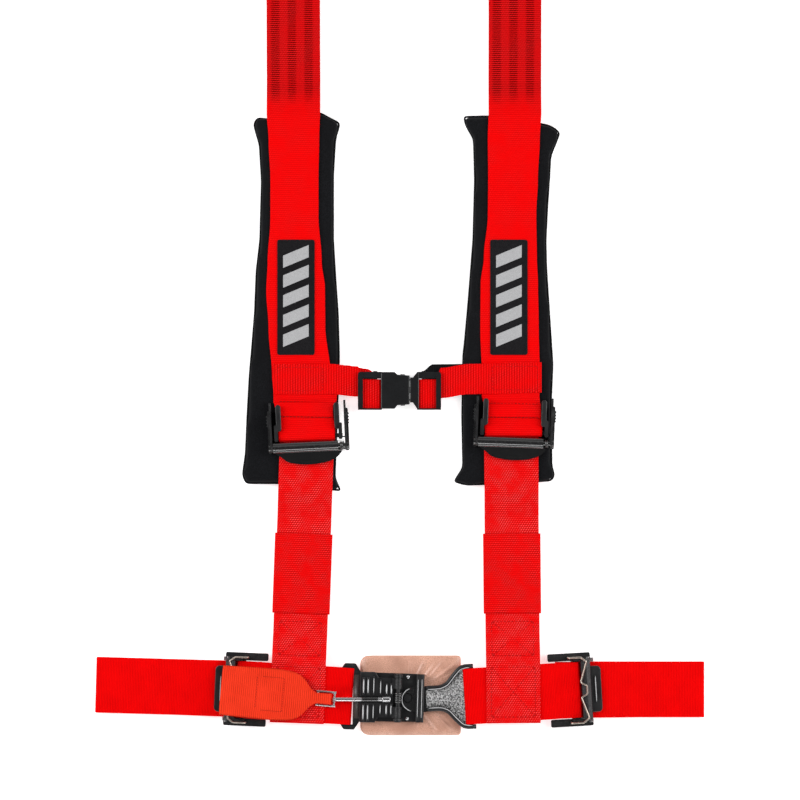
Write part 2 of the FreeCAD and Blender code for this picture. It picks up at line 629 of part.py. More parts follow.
def lower_strap(side):
    """From its sewn end on the lap webbing, under the pad's edge of the strap, to the shoulder adjuster."""
    hub_y = SHOULDER_ADJUSTER[side][1] - HUB_X
    over_bar = SHOULDER_FRAME_Z + BASE_THICK + 0.8
    lap_top = LAP_FRAME_Z + 8.4
    route = [(-26.3, lap_top, 0), (33, lap_top, 10), (58, LOWER_Z, 10), (168, LOWER_Z, 12),
             (191, PAD_THICK + 1.2, 8), (hub_y - 5, over_bar, 6), (hub_y + 1.0, over_bar, 2),
             (hub_y + 5.0, SHOULDER_FRAME_Z + 0.8, 2), (hub_y + 28, SHOULDER_FRAME_Z + 0.8, 0)]
    return strip(route, WEB_WIDTH, WEB_THICK)


def strap_sleeve():
    """Flat sewn sleeve round the lower strap."""
    outer = box(SLEEVE_Y[0], SLEEVE_Y[1], -27.0, 27.0, LOWER_Z - 2.0, LOWER_Z + 2.0)
    return outer.cut(box(SLEEVE_Y[0] - 1, SLEEVE_Y[1] + 1, -25.6, 25.6, LOWER_Z - 0.9, LOWER_Z + 0.9))


def lap_belt(side):
    """Outer belt: under the cam, out to a fold, and back beneath to the anchor's bar."""
    fold_x = LAP_END_X - abs(LAP_ADJUSTER[side][0]) - WEB_THICK / 2
    over_bar = LAP_FRAME_Z + BASE_THICK + 0.8
    turn_x = ANCHOR_BAR_X[0] + 1.3 - 2.25
    under_bar = LAP_FRAME_Z + 0.8
    route = [(-17, under_bar, 0), (7.6, under_bar, 2), (11.8, over_bar, 2), (25, over_bar, 12),
             (62, 3.9, 14), (fold_x, 3.9, 1.5), (fold_x, 0.9, 1.5), (turn_x, 0.9, 2.25), (turn_x, 5.4, 2.25),
             (36, 5.4, 0)]
    return strip(route, WEB_WIDTH, WEB_THICK)


def junction_length(side):
    """Distance and direction from a lap adjuster to the slot bar it is sewn to."""
    if side == 0:
        bar = place(Part.Vertex(vec(sum(LATCH_BAR_X) / 2, 0)), *LATCH_POINT, 0, LATCH_TURN).Point
    else:
        bar = place(Part.Vertex(vec(sum(LINK_BAR_X) / 2, 0)), *LINK_POINT, 0, LINK_TURN).Point
    away = vec(LAP_ADJUSTER[side][0], LAP_ADJUSTER[side][1]) - bar
    return away.Length, math.degrees(math.atan2(away.y, away.x))


def lap_junction(side):
    """Closed loop of webbing between a lap adjuster's fixed bar and the latch or the link."""
    length, _ = junction_length(side)
    radius = 2.15
    low = LAP_FRAME_Z + 2.5
    high = low + 2 * radius
    near = FIXED_BAR_X[1] - 1.2 + 0.6 + radius
    plate_low, plate_top = (LATCH_Z, LATCH_PLATE_TOP) if side == 0 else (NECK_LOW, NECK_LOW + NECK_THICK)
    far_low = plate_low - 0.9
    far_high = plate_top + 0.9
    far_radius = (far_high - far_low) / 2
    far = -length - 1.75 + 1.2 - 0.6 - far_radius
    middle = -length / 2
    route = [(middle + 0.2, low, 0), (near, low, radius), (near, high, radius), (-length + 21, high, 10),
             (-length + 5, far_high, 8), (far, far_high, far_radius), (far, far_low, far_radius),
             (-length + 8, far_low, 8), (middle - 0.2 - 8, low, 8), (middle - 0.2, low, 0)]
    return strip(route, WEB_WIDTH, WEB_THICK)


def chest_strap(side):
    """Chest webbing sewn across the shoulder strap and looped through the buckle half."""
    way = (-1, 1)[side]
    sewn_end = (-118.6, 132.6)[side]
    buckle_x = BUCKLE_POINT[0]
    upper = BUCKLE_Z + 6.45
    lower = BUCKLE_Z + 2.45
    sewn = PAD_THICK + 2.4
    loop_x = buckle_x + way * 19.5
    route = [(sewn_end, sewn, 0), (buckle_x + way * 62, sewn, 12), (buckle_x + way * 41, upper, 8),
             (loop_x, upper, 2.0), (loop_x, lower, 2.0), (buckle_x + way * 52, lower, 0)]
    if side == 1:
        route = route[::-1]
    body = strip(route, 90.0, CHEST_THICK)
    body.translate(vec(0, BUCKLE_POINT[1], 0))
    centre = [(sewn_end, SEWN_RISE[side])] + [(buckle_x + way * x, rise) for x, rise in CHEST_PLAN]
    half = CHEST_WIDTH / 2
    loop_half = half - LOOP_GATHER
    halves = [half, half, half, loop_half, loop_half]
    upper_edge = [(x, BUCKLE_POINT[1] + y + h) for (x, y), h in zip(centre, halves)]
    lower_edge = [(x, BUCKLE_POINT[1] + y - h) for (x, y), h in reversed(list(zip(centre, halves)))]
    return body.common(plate(upper_edge + lower_edge, 0, 40))


# ---- anchors and slides ----


def anchor_plate():
    """Steel plate with a webbing slot and a bolt hole, local +x from the slot bar to the hole."""
    outline = [(0, -30), (16, -30), (24, -24), (42, -19), (50, -10), (50, 10), (42, 19), (24, 24), (16, 30),
               (0, 30)]
    body = plate(outline, ANCHOR_LOW, ANCHOR_LOW + ANCHOR_THICK)
    slot = box(-1, 11, -26.4, 26.4, 0, 10)
    bar = round_bar(0, 5, 27.0, ANCHOR_LOW, ANCHOR_LOW + ANCHOR_THICK, 1.1)
    hole = rod_z(ANCHOR_HOLE_X, 0, 0, 10, BOLT_HOLE_RADIUS)
    body = body.cut([slot, hole]).fuse(bar).removeSplitter()
    return body


def three_bar_slide():
    """Slide with three cross bars and rounded corners."""
    low = 3.9
    frame = rounded_box(-18.5, 18.5, -31, 31, low, low + 2.2, 3.0)
    slots = [box(1.2, 14.4, -26.6, 26.6, low - 1, low + 4), box(-14.4, -1.2, -26.6, 26.6, low - 1, low + 4)]
    return frame.cut(slots)


# ---- pads, labels ----


def pad_outline(side, inset=0.0):
    left, right = PAD_LEFT[side], PAD_RIGHT[side]
    stations = (PAD_BOTTOM_Y + inset, PAD_WAIST_Y, PAD_TOP_Y - inset)
    rising = [(x - inset, y) for x, y in zip(right, stations)]
    falling = [(x + inset, y) for x, y in zip(left, stations)]
    return rising + falling[::-1]


def pad_cover(side):
    outer = plate(pad_outline(side), 0.3, PAD_THICK)
    inner = plate(pad_outline(side, PAD_SKIN), 0.3 + PAD_SKIN, PAD_THICK - PAD_SKIN)
    return outer.cut(inner)


def pad_core(side):
    return plate(pad_outline(side, PAD_SKIN + 0.1), 0.4 + PAD_SKIN, PAD_THICK - PAD_SKIN - 0.1)


def label():
    return rounded_box(-LABEL_SIZE[0] / 2, LABEL_SIZE[0] / 2, -LABEL_SIZE[1] / 2, LABEL_SIZE[1] / 2,
                       PAD_THICK + 1.75, PAD_THICK + 2.35, 2.0)


def backing_pad():
    return rounded_box(-37.6, 57.3, -38.5, 36.7, 0.3, LATCH_Z - 0.4, 7.0)


# ---- chest buckle, local z = 0 at its underside ----


def buckle_frame(way):
    """Webbing frame of one buckle half: wide and narrow rails, end bar above, inner bar below."""
    near, middle, far = 16.4 * way, 33.6 * way, 39.0 * way
    wide = rounded_box(*sorted((near, middle)), 10.7, 17.0, 3.4, 9.5, 0.8)
    narrow = rounded_box(*sorted((near, far)), -18.6, -17.1, 1.5, 9.5, 0.6)
    end_bar = box(*sorted((34.2 * way, far)), -18.4, 17.0, 7.4, 10.0)
    corners = [e for e in upright_edges(end_bar) if abs(e.CenterOfMass.x) > 36]
    end_bar = end_bar.makeFillet(2.6, corners)
    brow = box(*sorted((28.0 * way, 36.0 * way)), 10.9, 16.8, 7.4, 9.5)
    inner_bar = round_bar(*sorted((20.8 * way, 24.5 * way)), 17.8, 3.5, 5.6, 0.8)
    return [wide, narrow, end_bar, brow, inner_bar]


def buckle_female():
    """Housing with a socket, side windows for the prongs and its webbing frame."""
    body = plate([(-17.4, -17.6), (-4.5, -17.6), (-2.0, -14.4), (9.6, -13.6), (9.6, 13.6), (-2.0, 14.4),
                  (-4.5, 16.9), (-17.4, 16.9)], 0, 10)
    body = body.makeFillet(1.0, [e for e in body.Edges if abs(e.tangentAt(e.FirstParameter).z) < 0.01])
    socket = box(-13.0, 11.0, -12.6, 12.6, 2.2, 7.8)
    windows = [box(-1.6, 6.6, 10.0, 18.0, 1.6, 8.4), box(-1.6, 6.6, -18.0, -10.0, 1.6, 8.4)]
    return body.cut([socket] + windows).fuse(buckle_frame(-1)).removeSplitter()


def buckle_male():
    """Waisted base with a centre tongue and its webbing frame; the prongs pivot in its two sockets."""
    base = plate([(9.8, -11.8), (12.6, -11.8), (16.6, -17.8), (18.3, -17.8), (18.3, 16.9), (16.6, 16.9),
                  (12.6, 11.8), (9.8, 11.8)], 0.6, 9.6)
    base = base.makeFillet(0.8, [e for e in base.Edges if abs(e.tangentAt(e.FirstParameter).z) < 0.01])
    tongue = box(-9.0, 12.0, -3.0, 3.0, 3.0, 7.0)
    sockets = [rod_z(PRONG_X, 9.2 * side, 2.2, 7.8, 2.2) for side in (1, -1)]
    mouths = [box(9.0, PRONG_X, 7.2, 11.2, 2.2, 7.8), box(9.0, PRONG_X, -11.2, -7.2, 2.2, 7.8)]
    return base.cut(sockets + mouths).fuse([tongue] + buckle_frame(1)).removeSplitter()


def buckle_prong(side):
    """Spring prong with a round root and a bulge that fills the housing's window."""
    root = rod_z(PRONG_X, 9.2, 2.6, 7.4, 1.85)
    arm = plate([(PRONG_X, 8.2), (PRONG_X, 10.2), (6.2, 10.6), (5.2, 14.6), (1.4, 14.9), (-1.4, 12.3),
                 (-3.0, 9.0), (4.0, 8.6)], 2.6, 7.4)
    prong = root.fuse(arm).removeSplitter()
    return prong if side > 0 else prong.mirror(vec(0, 0, 0), vec(0, 1, 0))


# ---- export ----


def in_latch(shape):
    return place(shape, LATCH_POINT[0], LATCH_POINT[1], 0, LATCH_TURN)


def in_buckle(shape):
    return place(shape, BUCKLE_POINT[0], BUCKLE_POINT[1], BUCKLE_Z)


def at_adjuster(shape, spot, height):
    x, y, turn = spot
    return place(shape, x, y, height, turn)


def side_nodes(side, tag):
    """Every node of one side that has its twin on the other side."""
    shoulder = SHOULDER_ADJUSTER[side]
    lap = LAP_ADJUSTER[side]
    strap_turn = 90 + SHOULDER_TURN[side]
    lower_turn = 90 + LOWER_TURN[side]
    anchor = place(anchor_plate(), SHOULDER_ANCHOR_Y, 0)
    _, junction_turn = junction_length(side)
    lap_anchor = place(anchor_plate(), ANCHOR_BAR_X[1], 0, 0, 180)
    slide = place(three_bar_slide(), SLIDE_Y, 0)
    lap_frame = adjuster_frame(LAP_INNER_HALF, LAP_OUTER_HALF, -2.0)
    return {
        "shoulder_strap_" + tag: place(shoulder_strap(side), SHOULDER_X[side], 0, 0, strap_turn),
        "shoulder_anchor_" + tag: place(anchor, SHOULDER_X[side], 0, 0, strap_turn),
        "strap_slide_" + tag: place(slide, SHOULDER_X[side], 0, 0, strap_turn),
        "pad_cover_" + tag: pad_cover(side),
        "pad_core_" + tag: pad_core(side),
        "label_" + tag: place(label(), *LABEL_POINT[side]),
        "chest_strap_" + tag: chest_strap(side),
        "shoulder_frame_" + tag: at_adjuster(shoulder_frame(), shoulder, SHOULDER_FRAME_Z),
        "shoulder_lever_" + tag: at_adjuster(shoulder_lever(), shoulder, SHOULDER_FRAME_Z),
        "shoulder_pin_" + tag: at_adjuster(adjuster_pin(SHOULDER_INNER_HALF), shoulder, SHOULDER_FRAME_Z),
        "shoulder_spring_" + tag: at_adjuster(shoulder_spring(), shoulder, SHOULDER_FRAME_Z),
        "lower_strap_" + tag: place(lower_strap(side), LOWER_X[side], 0, 0, lower_turn),
        "strap_sleeve_" + tag: place(strap_sleeve(), LOWER_X[side], 0, 0, lower_turn),
        "lap_junction_" + tag: place(lap_junction(side), lap[0], lap[1], 0, junction_turn),
        "lap_frame_" + tag: at_adjuster(lap_frame, lap, LAP_FRAME_Z),
        "lap_lever_" + tag: at_adjuster(lap_lever(), lap, LAP_FRAME_Z),
        "lap_pin_" + tag: at_adjuster(adjuster_pin(LAP_INNER_HALF), lap, LAP_FRAME_Z),
        "lap_spring_" + tag: at_adjuster(lap_spring(), lap, LAP_FRAME_Z),
        "lap_belt_" + tag: at_adjuster(lap_belt(side), lap[:2] + (LAP_BELT_TURN[side],), 0),
        "lap_anchor_" + tag: at_adjuster(lap_anchor, lap[:2] + (LAP_BELT_TURN[side],), 0),
        "buckle_prong_" + tag: in_buckle(buckle_prong((1, -1)[side])),
    }


def single_nodes():
    return {
        "latch_base": in_latch(latch_base()),
        "latch_rivets": in_latch(latch_rivets()),
        "latch_lever": in_latch(latch_lever()),
        "latch_pin": in_latch(latch_pin()),
        "latch_spring": in_latch(latch_spring()),
        "pull_rod": in_latch(pull_rod()),
        "pull_tab": in_latch(pull_tab()),
        "tab_clasp": in_latch(tab_clasp()),
        "link": place(link(), LINK_POINT[0], LINK_POINT[1], 0, LINK_TURN),
        "backing_pad": backing_pad(),
        "buckle_female": in_buckle(buckle_female()),
        "buckle_male": in_buckle(buckle_male()),
    }


def main():
    nodes = {**side_nodes(0, "l"), **side_nodes(1, "r"), **single_nodes()}
    bounds = FreeCAD.BoundBox()
    for shape in nodes.values():
        bounds.add(shape.optimalBoundingBox(False))
    os.makedirs("parts", exist_ok=True)
    for name, shape in nodes.items():
        moved = shape.copy()
        moved.translate(vec(-bounds.Center.x, -bounds.Center.y, -bounds.ZMin))
        moved.exportStep("parts/" + name + ".step")
    print("origin moved by", -bounds.Center.x, -bounds.Center.y, -bounds.ZMin)


if __name__ == "__main__":
    main()
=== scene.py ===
import math
from math import cos, exp, pi, radians, sin

import bmesh
import bpy
from mathutils import Matrix, Vector


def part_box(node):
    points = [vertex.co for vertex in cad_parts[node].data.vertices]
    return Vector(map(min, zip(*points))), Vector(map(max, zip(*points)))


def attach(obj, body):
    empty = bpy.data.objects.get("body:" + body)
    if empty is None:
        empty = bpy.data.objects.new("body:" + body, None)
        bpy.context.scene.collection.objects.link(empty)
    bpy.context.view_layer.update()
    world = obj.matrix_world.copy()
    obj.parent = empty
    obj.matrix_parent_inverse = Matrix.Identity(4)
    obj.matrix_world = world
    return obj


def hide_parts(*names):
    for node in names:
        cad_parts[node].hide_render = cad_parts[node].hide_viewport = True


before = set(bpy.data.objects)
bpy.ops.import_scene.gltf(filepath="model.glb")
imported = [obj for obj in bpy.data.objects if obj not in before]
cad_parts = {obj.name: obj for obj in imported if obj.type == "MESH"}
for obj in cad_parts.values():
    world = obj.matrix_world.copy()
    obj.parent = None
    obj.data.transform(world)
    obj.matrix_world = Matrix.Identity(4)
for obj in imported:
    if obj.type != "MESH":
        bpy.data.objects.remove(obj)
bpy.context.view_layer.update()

MM = 0.001
scene = bpy.context.scene

# ---- sizes shared with the CAD source, in its design millimetres ----
WEB_WIDTH = 50.8
WEB_THICK = 1.4
CHEST_WIDTH = 28.5
CHEST_THICK = 1.1
PAD_THICK = 12.0
PAD_TOP_Y = 539.0
LAP_FRAME_Z = 6.6
LOWER_Z = 5.0
SHOULDER_FRAME_Z = PAD_THICK + 0.3
LATCH_Z = 6.6
LATCH_PLATE_TOP = 9.1
NECK_LOW = 9.3
LINK_TOP = NECK_LOW + 3.0
FIXED_BAR_FRONT = 5.0
OVER_PAD = PAD_THICK + 0.9
SEWN_CHEST_Z = PAD_THICK + 2.4
# Webbing looped round an adjuster's bar: bend radius, and its heights above the frame under and over the bar
LOOP_RADIUS = 2.15
BAR_LOW = 2.5
BAR_HIGH = BAR_LOW + 2 * LOOP_RADIUS
# Webbing round an anchor plate's bar: bend radius, and its heights over and under the bar
ANCHOR_RADIUS = 2.25
ANCHOR_HIGH = 5.4
ANCHOR_LOW = ANCHOR_HIGH - 2 * ANCHOR_RADIUS
HUB_X = 12.5
HUB_Z = 8.0
SHOULDER_ADJUSTER = ((-85.8, 245.1, -87.3), (106.9, 249.1, -92.0))
LAP_ADJUSTER = ((-147.1, 5.1, 177.5), (162.4, 4.6, 3.3))
SHOULDER_X = (-81.0, 103.8)
SHOULDER_TURN = (1.63, -0.34)
LOWER_X = (-95.8, 106.2)
LOWER_TURN = (-2.1, 0.5)
LAP_BELT_TURN = (178.4, 0.0)
LATCH_FRAME = (-11.3, -2.4, -1.5)
LATCH_BAR_X = -38.25
LINK_FRAME = (65.5, -1.4, 3.2)
LINK_BAR_X = 0.25
LAP_END_X = 285.8
ANCHOR_BAR_X = 14.0
SLIDE_Y = 800.0
SHOULDER_ANCHOR_Y = 872.0
LABEL_POINT = ((-97.5, 372.6), (102.0, 372.6))
LABEL_SIZE = (35.0, 108.0)
SLEEVE_Y = (76.0, 151.0)
SLEEVE_HALF = (27.0, 1.95)
SLEEVE_WALL = 1.05
BUCKLE_POINT = (-0.5, 285.8)
BUCKLE_Z = 5.0
TAB_PIVOT_X = -50.3
TAB_TURN = -3.5
ROD_TURN = 1.5
ROD_Y = -1.4
TAB_REAR_X = -157.5
ROD_Z = 17.2
ROD_RADIUS = 2.0
TAB_SLOPE = math.atan2(22.2 - ROD_Z - 0.6, TAB_PIVOT_X - TAB_REAR_X)
BACKING_CORNER = Vector((-37.6, -38.5, 0.3))

SIDES = ((0, "l"), (1, "r"))
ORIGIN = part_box("backing_pad")[0] - BACKING_CORNER * MM


def at(x, y, z=0.0):
    """Design millimetres to the frame's metres."""
    return Vector((x, y, z)) * MM + ORIGIN


def turned(spot, x, y, z=0.0):
    """Point in a unit's own frame, given as (x, y, turn), to design millimetres."""
    angle = radians(spot[2])
    return Vector((spot[0] + x * cos(angle) - y * sin(angle),
                   spot[1] + x * sin(angle) + y * cos(angle), z))


# ---- node materials ----


class Nodes:
    """Small helper to wire a material's nodes."""

    def __init__(self, name, colour, roughness, metallic=0.0, specular=0.5):
        self.material = bpy.data.materials.new(name)
        self.material.use_nodes = True
        self.tree = self.material.node_tree
        self.shader = self.tree.nodes["Principled BSDF"]
        self.set("Base Color", (*colour, 1.0))
        self.set("Roughness", roughness)
        self.set("Metallic", metallic)
        self.set("Specular IOR Level", specular)

    def set(self, name, value):
        self.shader.inputs[name].default_value = value

    def drive(self, name, socket):
        self.link(socket, self.shader.inputs[name])

    def add(self, kind, **settings):
        node = self.tree.nodes.new(kind)
        for key, value in settings.items():
            if key in node.inputs:
                node.inputs[key].default_value = value
            else:
                setattr(node, key, value)
        return node

    def link(self, source, target):
        self.tree.links.new(source, target)

    def math(self, operation, *values):
        node = self.add("ShaderNodeMath", operation=operation)
        for socket, value in zip(node.inputs, values):
            if isinstance(value, (int, float)):
                socket.default_value = value
            else:
                self.link(value, socket)
        return node.outputs[0]

    def times(self, first, second):
        return self.math("MULTIPLY", first, second)

    def plus(self, first, second):
        return self.math("ADD", first, second)

    def less(self, first, second):
        return self.math("SUBTRACT", first, second)

    def wave(self, phase):
        """Sine of the phase, brought to the range 0 to 1."""
        return self.plus(self.times(self.math("SINE", phase), 0.5), 0.5)

    def mix(self, factor, first, second):
        node = self.add("ShaderNodeMix", data_type="RGBA")
        self.link(factor, node.inputs[0])
        for socket, value in ((node.inputs[6], first), (node.inputs[7], second)):
            if isinstance(value, tuple):
                socket.default_value = (*value, 1.0)
            else:
                self.link(value, socket)
        return node.outputs[2]

    def place(self):
        return self.add("ShaderNodeTexCoord").outputs["Object"]

    def axes(self, vector):
        node = self.add("ShaderNodeSeparateXYZ")
        self.link(vector, node.inputs[0])
        return node.outputs

    def noise(self, vector, scale, detail=2.0):
        node = self.add("ShaderNodeTexNoise", Scale=scale, Detail=detail)
        self.link(vector, node.inputs["Vector"])
        return node.outputs["Fac"]

    def cells(self, vector, scale, feature="F1"):
        node = self.add("ShaderNodeTexVoronoi", feature=feature, Scale=scale)
        self.link(vector, node.inputs["Vector"])
        return node.outputs["Distance"]

    def ramp(self, value, low, high, low_out=0.0, high_out=1.0):
        node = self.add("ShaderNodeMapRange")
        for index, number in enumerate((low, high, low_out, high_out), 1):
            node.inputs[index].default_value = number
        self.link(value, node.inputs[0])
        return node.outputs[0]

    def bump(self, height, strength, distance_mm):
        node = self.add("ShaderNodeBump", Strength=strength, Distance=distance_mm * MM)
        self.link(height, node.inputs["Height"])
        self.drive("Normal", node.outputs["Normal"])


def tinted(colour, factor, lift=0.0):
    return tuple(min(1.0, c * factor + lift) for c in colour)


# Spacing in millimetres across the webbing of its yarns, its dark columns and its glints
YARN_PITCH = 1.1
COLUMN_PITCH = 15.6
GLINT_PITCH = 2.3
GLINT = (0.95, 0.11, 0.11)


def webbing_material(name, bright, deep, pitch, valley, patch_size=55.0, painted_shade_above=None, glint=0.0):
    """Woven webbing: cross ribs of the given pitch, yarn grain, and soft patches of shade.

    painted_shade_above = (from y, to y, colour): beyond those heights the webbing's face colour is darker,
    painted shade, and its ribs are deeper.
    glint is the share of yarns that catch the light.
    """
    nodes = Nodes(name, bright, 0.8, specular=0.02)
    uv = nodes.add("ShaderNodeUVMap").outputs[0]
    across, along = nodes.axes(uv)[:2]

    def repeat(value, spacing):
        return nodes.times(value, 2 * pi / spacing)

    phase = nodes.plus(repeat(along, pitch), nodes.times(nodes.noise(uv, 0.35), 2.0))
    rib = nodes.wave(phase)
    yarn = nodes.wave(nodes.plus(repeat(across, YARN_PITCH), phase))
    patch = nodes.ramp(nodes.noise(uv, 2.2 / patch_size, 3.0), 0.35, 0.65)
    grain = nodes.noise(uv, 2.6)
    valleys = nodes.times(nodes.less(1.0, rib), nodes.ramp(patch, 0.0, 1.0, valley * 0.45, valley))
    speckle = nodes.times(nodes.less(1.0, yarn), nodes.ramp(grain, 0.4, 0.7, 0.0, valley * 0.8))
    shade = nodes.math("MINIMUM", nodes.plus(valleys, speckle), 1.0)
    face = bright
    # Painted shade: past the given height the face colour turns darker, and dark rib columns are added
    if painted_shade_above:
        low, high, dark = painted_shade_above
        upper = nodes.ramp(nodes.axes(nodes.place())[1], at(0, low).y, at(0, high).y)
        column = nodes.math("SINE", nodes.plus(repeat(across, COLUMN_PITCH), 1.0))
        bars = nodes.times(nodes.ramp(rib, 0.1, 0.9, 1.0, 0.0), nodes.ramp(column, -0.35, 0.5, 0.25, 0.95))
        shade = nodes.math("MINIMUM", nodes.plus(shade, nodes.times(bars, upper)), 1.0)
        face = nodes.mix(upper, bright, dark)
    woven = nodes.mix(shade, face, deep)
    if glint:
        brick = nodes.plus(repeat(across, GLINT_PITCH), nodes.times(phase, 0.5))
        dots = nodes.times(nodes.ramp(nodes.math("SINE", brick), 0.0, 0.8), rib)
        woven = nodes.mix(nodes.times(dots, nodes.ramp(patch, 0.0, 1.0, glint * 0.15, glint)), woven, GLINT)
    nodes.drive("Base Color", woven)
    nodes.drive("Roughness", nodes.ramp(grain, 0.3, 0.7, 0.62, 0.85))
    nodes.bump(nodes.plus(nodes.times(rib, 0.7), nodes.times(yarn, 0.3)), 0.55, 0.35)
    return nodes.material


def thread_material(name, colour):
    nodes = Nodes(name, colour, 0.75, specular=0.1)
    twist = nodes.noise(nodes.place(), 2600.0)
    nodes.drive("Base Color", nodes.mix(nodes.ramp(twist, 0.35, 0.65), tinted(colour, 0.6), colour))
    nodes.bump(twist, 0.4, 0.15)
    return nodes.material


def cover_material(name, colour, light):
    """Matt knitted cover cloth with a fine grain and soft folds of shade."""
    nodes = Nodes(name, colour, 0.9, specular=0.08)
    nodes.set("Sheen Weight", 0.03)
    place = nodes.place()
    weave = nodes.noise(place, 1500.0)
    folds = nodes.ramp(nodes.noise(place, 28.0, 3.0), 0.3, 0.7, 0.35, 1.0)
    shade = nodes.times(nodes.ramp(weave, 0.4, 0.62), folds)
    nodes.drive("Base Color", nodes.mix(shade, colour, light))
    nodes.bump(nodes.plus(nodes.times(nodes.cells(place, 900.0), 0.6), weave), 0.4, 0.3)
    return nodes.material


def leather_material(name, colour, deep):
    nodes = Nodes(name, colour, 0.42, specular=0.7)
    place = nodes.place()
    pores = nodes.ramp(nodes.cells(place, 620.0, "DISTANCE_TO_EDGE"), 0.0, 0.12)
    clouds = nodes.noise(place, 45.0, 4.0)
    tint = nodes.mix(nodes.ramp(clouds, 0.35, 0.7), colour, deep)
    nodes.drive("Base Color", nodes.mix(pores, deep, tint))
    nodes.drive("Roughness", nodes.ramp(clouds, 0.3, 0.7, 0.26, 0.48))
    nodes.bump(pores, 0.25, 0.15)
    return nodes.material


def metal_material(name, colour, roughness, metallic, edge_wear=0.0, grain_scale=900.0, grain=0.08, coat=0.0):
    """Coated or bare metal with fine grain and lighter wear on its edges."""
    nodes = Nodes(name, colour, roughness, metallic, 1.0 if coat else 0.5)
    nodes.set("Coat Weight", coat)
    nodes.set("Coat Roughness", 0.12)
    place = nodes.place()
    fine = nodes.noise(place, grain_scale, 3.0)
    broad = nodes.noise(place, 120.0, 3.0)
    nodes.drive("Roughness", nodes.ramp(broad, 0.3, 0.7, roughness * 0.8, min(1.0, roughness * 1.3)))
    point = nodes.add("ShaderNodeNewGeometry").outputs["Pointiness"]
    scratch = nodes.times(nodes.ramp(point, 0.56, 0.66), nodes.ramp(fine, 0.5, 0.7, 0.0, edge_wear))
    coating = nodes.mix(nodes.ramp(broad, 0.3, 0.7), colour, tinted(colour, 0.8))
    nodes.drive("Base Color", nodes.mix(scratch, coating, tinted(colour, 3, 0.12)))
    nodes.bump(fine, grain, 0.2)
    return nodes.material


def hammered_material(name, colour, dark):
    """Hammered enamel: rounded dimples with dark joints."""
    nodes = Nodes(name, colour, 0.38, 0.6)
    dimple = nodes.ramp(nodes.cells(nodes.place(), 900.0, "SMOOTH_F1"), 0.1, 0.62)
    nodes.drive("Base Color", nodes.mix(dimple, colour, dark))
    nodes.bump(dimple, 0.9, 0.6)
    return nodes.material


def plastic_material(name, colour, roughness):
    nodes = Nodes(name, colour, roughness)
    place = nodes.place()
    fine = nodes.noise(place, 1800.0)
    clouds = nodes.ramp(nodes.noise(place, 60.0), 0.35, 0.7)
    nodes.drive("Base Color", nodes.mix(clouds, colour, tinted(colour, 1.6)))
    nodes.drive("Roughness", nodes.ramp(fine, 0.3, 0.7, roughness * 0.85, roughness * 1.15))
    nodes.bump(fine, 0.15, 0.15)
    return nodes.material


RED = (0.92, 0.0012, 0.0016)
RED_DEEP = (0.34, 0.0, 0.0004)
ORANGE = (0.95, 0.050, 0.018)
ORANGE_DEEP = (0.50, 0.016, 0.004)
# Painted shade: the shoulder straps are coloured darker from this height up
SHOULDER_SHADE_PAINT = (552.0, 568.0, (0.74, 0.004, 0.005))
SHOULDER_WEAVE = ((0.90, 0.001, 0.0015), (0.13, 0.0, 0.0), 1.85, 0.3, 55.0, SHOULDER_SHADE_PAINT)
LOWER_WEAVE = ((0.90, 0.0016, 0.002), (0.24, 0.0, 0.0), 1.9, 0.6, 30.0, None)

materials = {
    "webbing": webbing_material("webbing_red", RED, RED_DEEP, 1.5, 0.5),
    "webbing_lower": webbing_material("webbing_red_lower", *LOWER_WEAVE, 1.0),
    "webbing_sleeve": webbing_material("webbing_red_sleeve", *LOWER_WEAVE, 0.4),
    "webbing_shoulder": webbing_material("webbing_red_shoulder", *SHOULDER_WEAVE, 0.12),
    "chest": webbing_material("webbing_red_chest", RED, (0.16, 0.0, 0.0), 2.4, 0.6, glint=0.25),
    # Near-black webbing: painted shadow for the right chest strap's turned-back end
    "chest_shadowed": webbing_material("webbing_painted_shadow", (0.010, 0.010, 0.011), (0.002, 0.002, 0.002), 2.4, 0.6),
    "tab": webbing_material("webbing_orange", ORANGE, ORANGE_DEEP, 1.9, 0.75),
    "thread": thread_material("thread_red", (0.58, 0.005, 0.006)),
    "thread_dark": thread_material("thread_dark_red", (0.30, 0.005, 0.004)),
    "thread_black": thread_material("thread_black", (0.012, 0.012, 0.013)),
    "cover": cover_material("pad_cover_cloth", (0.0038, 0.0040, 0.0047), (0.0105, 0.011, 0.013)),
    "label": cover_material("label_cloth", (0.007, 0.0065, 0.0075), (0.018, 0.017, 0.019)),
    "silver": thread_material("thread_silver", (0.50, 0.50, 0.51)),
    "leather": leather_material("leather_tan", (0.78, 0.43, 0.315), (0.48, 0.235, 0.16)),
    "black": metal_material("gloss_black_steel", (0.004, 0.004, 0.0045), 0.16, 0.0, 0.3, 900.0, 0.02, 0.8),
    "bright": metal_material("bright_steel", (0.62, 0.62, 0.63), 0.25, 1.0),
    "zinc": metal_material("zinc_steel", (0.48, 0.49, 0.50), 0.38, 1.0, grain_scale=500.0, grain=0.2),
    "bronze": metal_material("bronze_wire", (0.48, 0.41, 0.35), 0.3, 1.0),
    "satin": metal_material("satin_black_steel", (0.006, 0.006, 0.007), 0.38, 0.0, 0.4, grain=0.05),
    # Light grey coat for thin lines of painted highlight on the black parts
    "polished": metal_material("painted_highlight", (0.62, 0.62, 0.63), 0.4, 0.0, grain_scale=400.0, grain=0.2),
    # Brown-grey coat: painted reflection of the tan leather on black steel
    "leather_reflection_paint": metal_material("plate_painted_reflection", (0.055, 0.040, 0.036), 0.4, 0.0, 0.2),
    "hammered": hammered_material("hammered_grey", (0.72, 0.71, 0.71), (0.09, 0.09, 0.09)),
    "plastic": plastic_material("buckle_black", (0.0036, 0.0038, 0.0045), 0.32),
}


# ---- mesh helpers ----


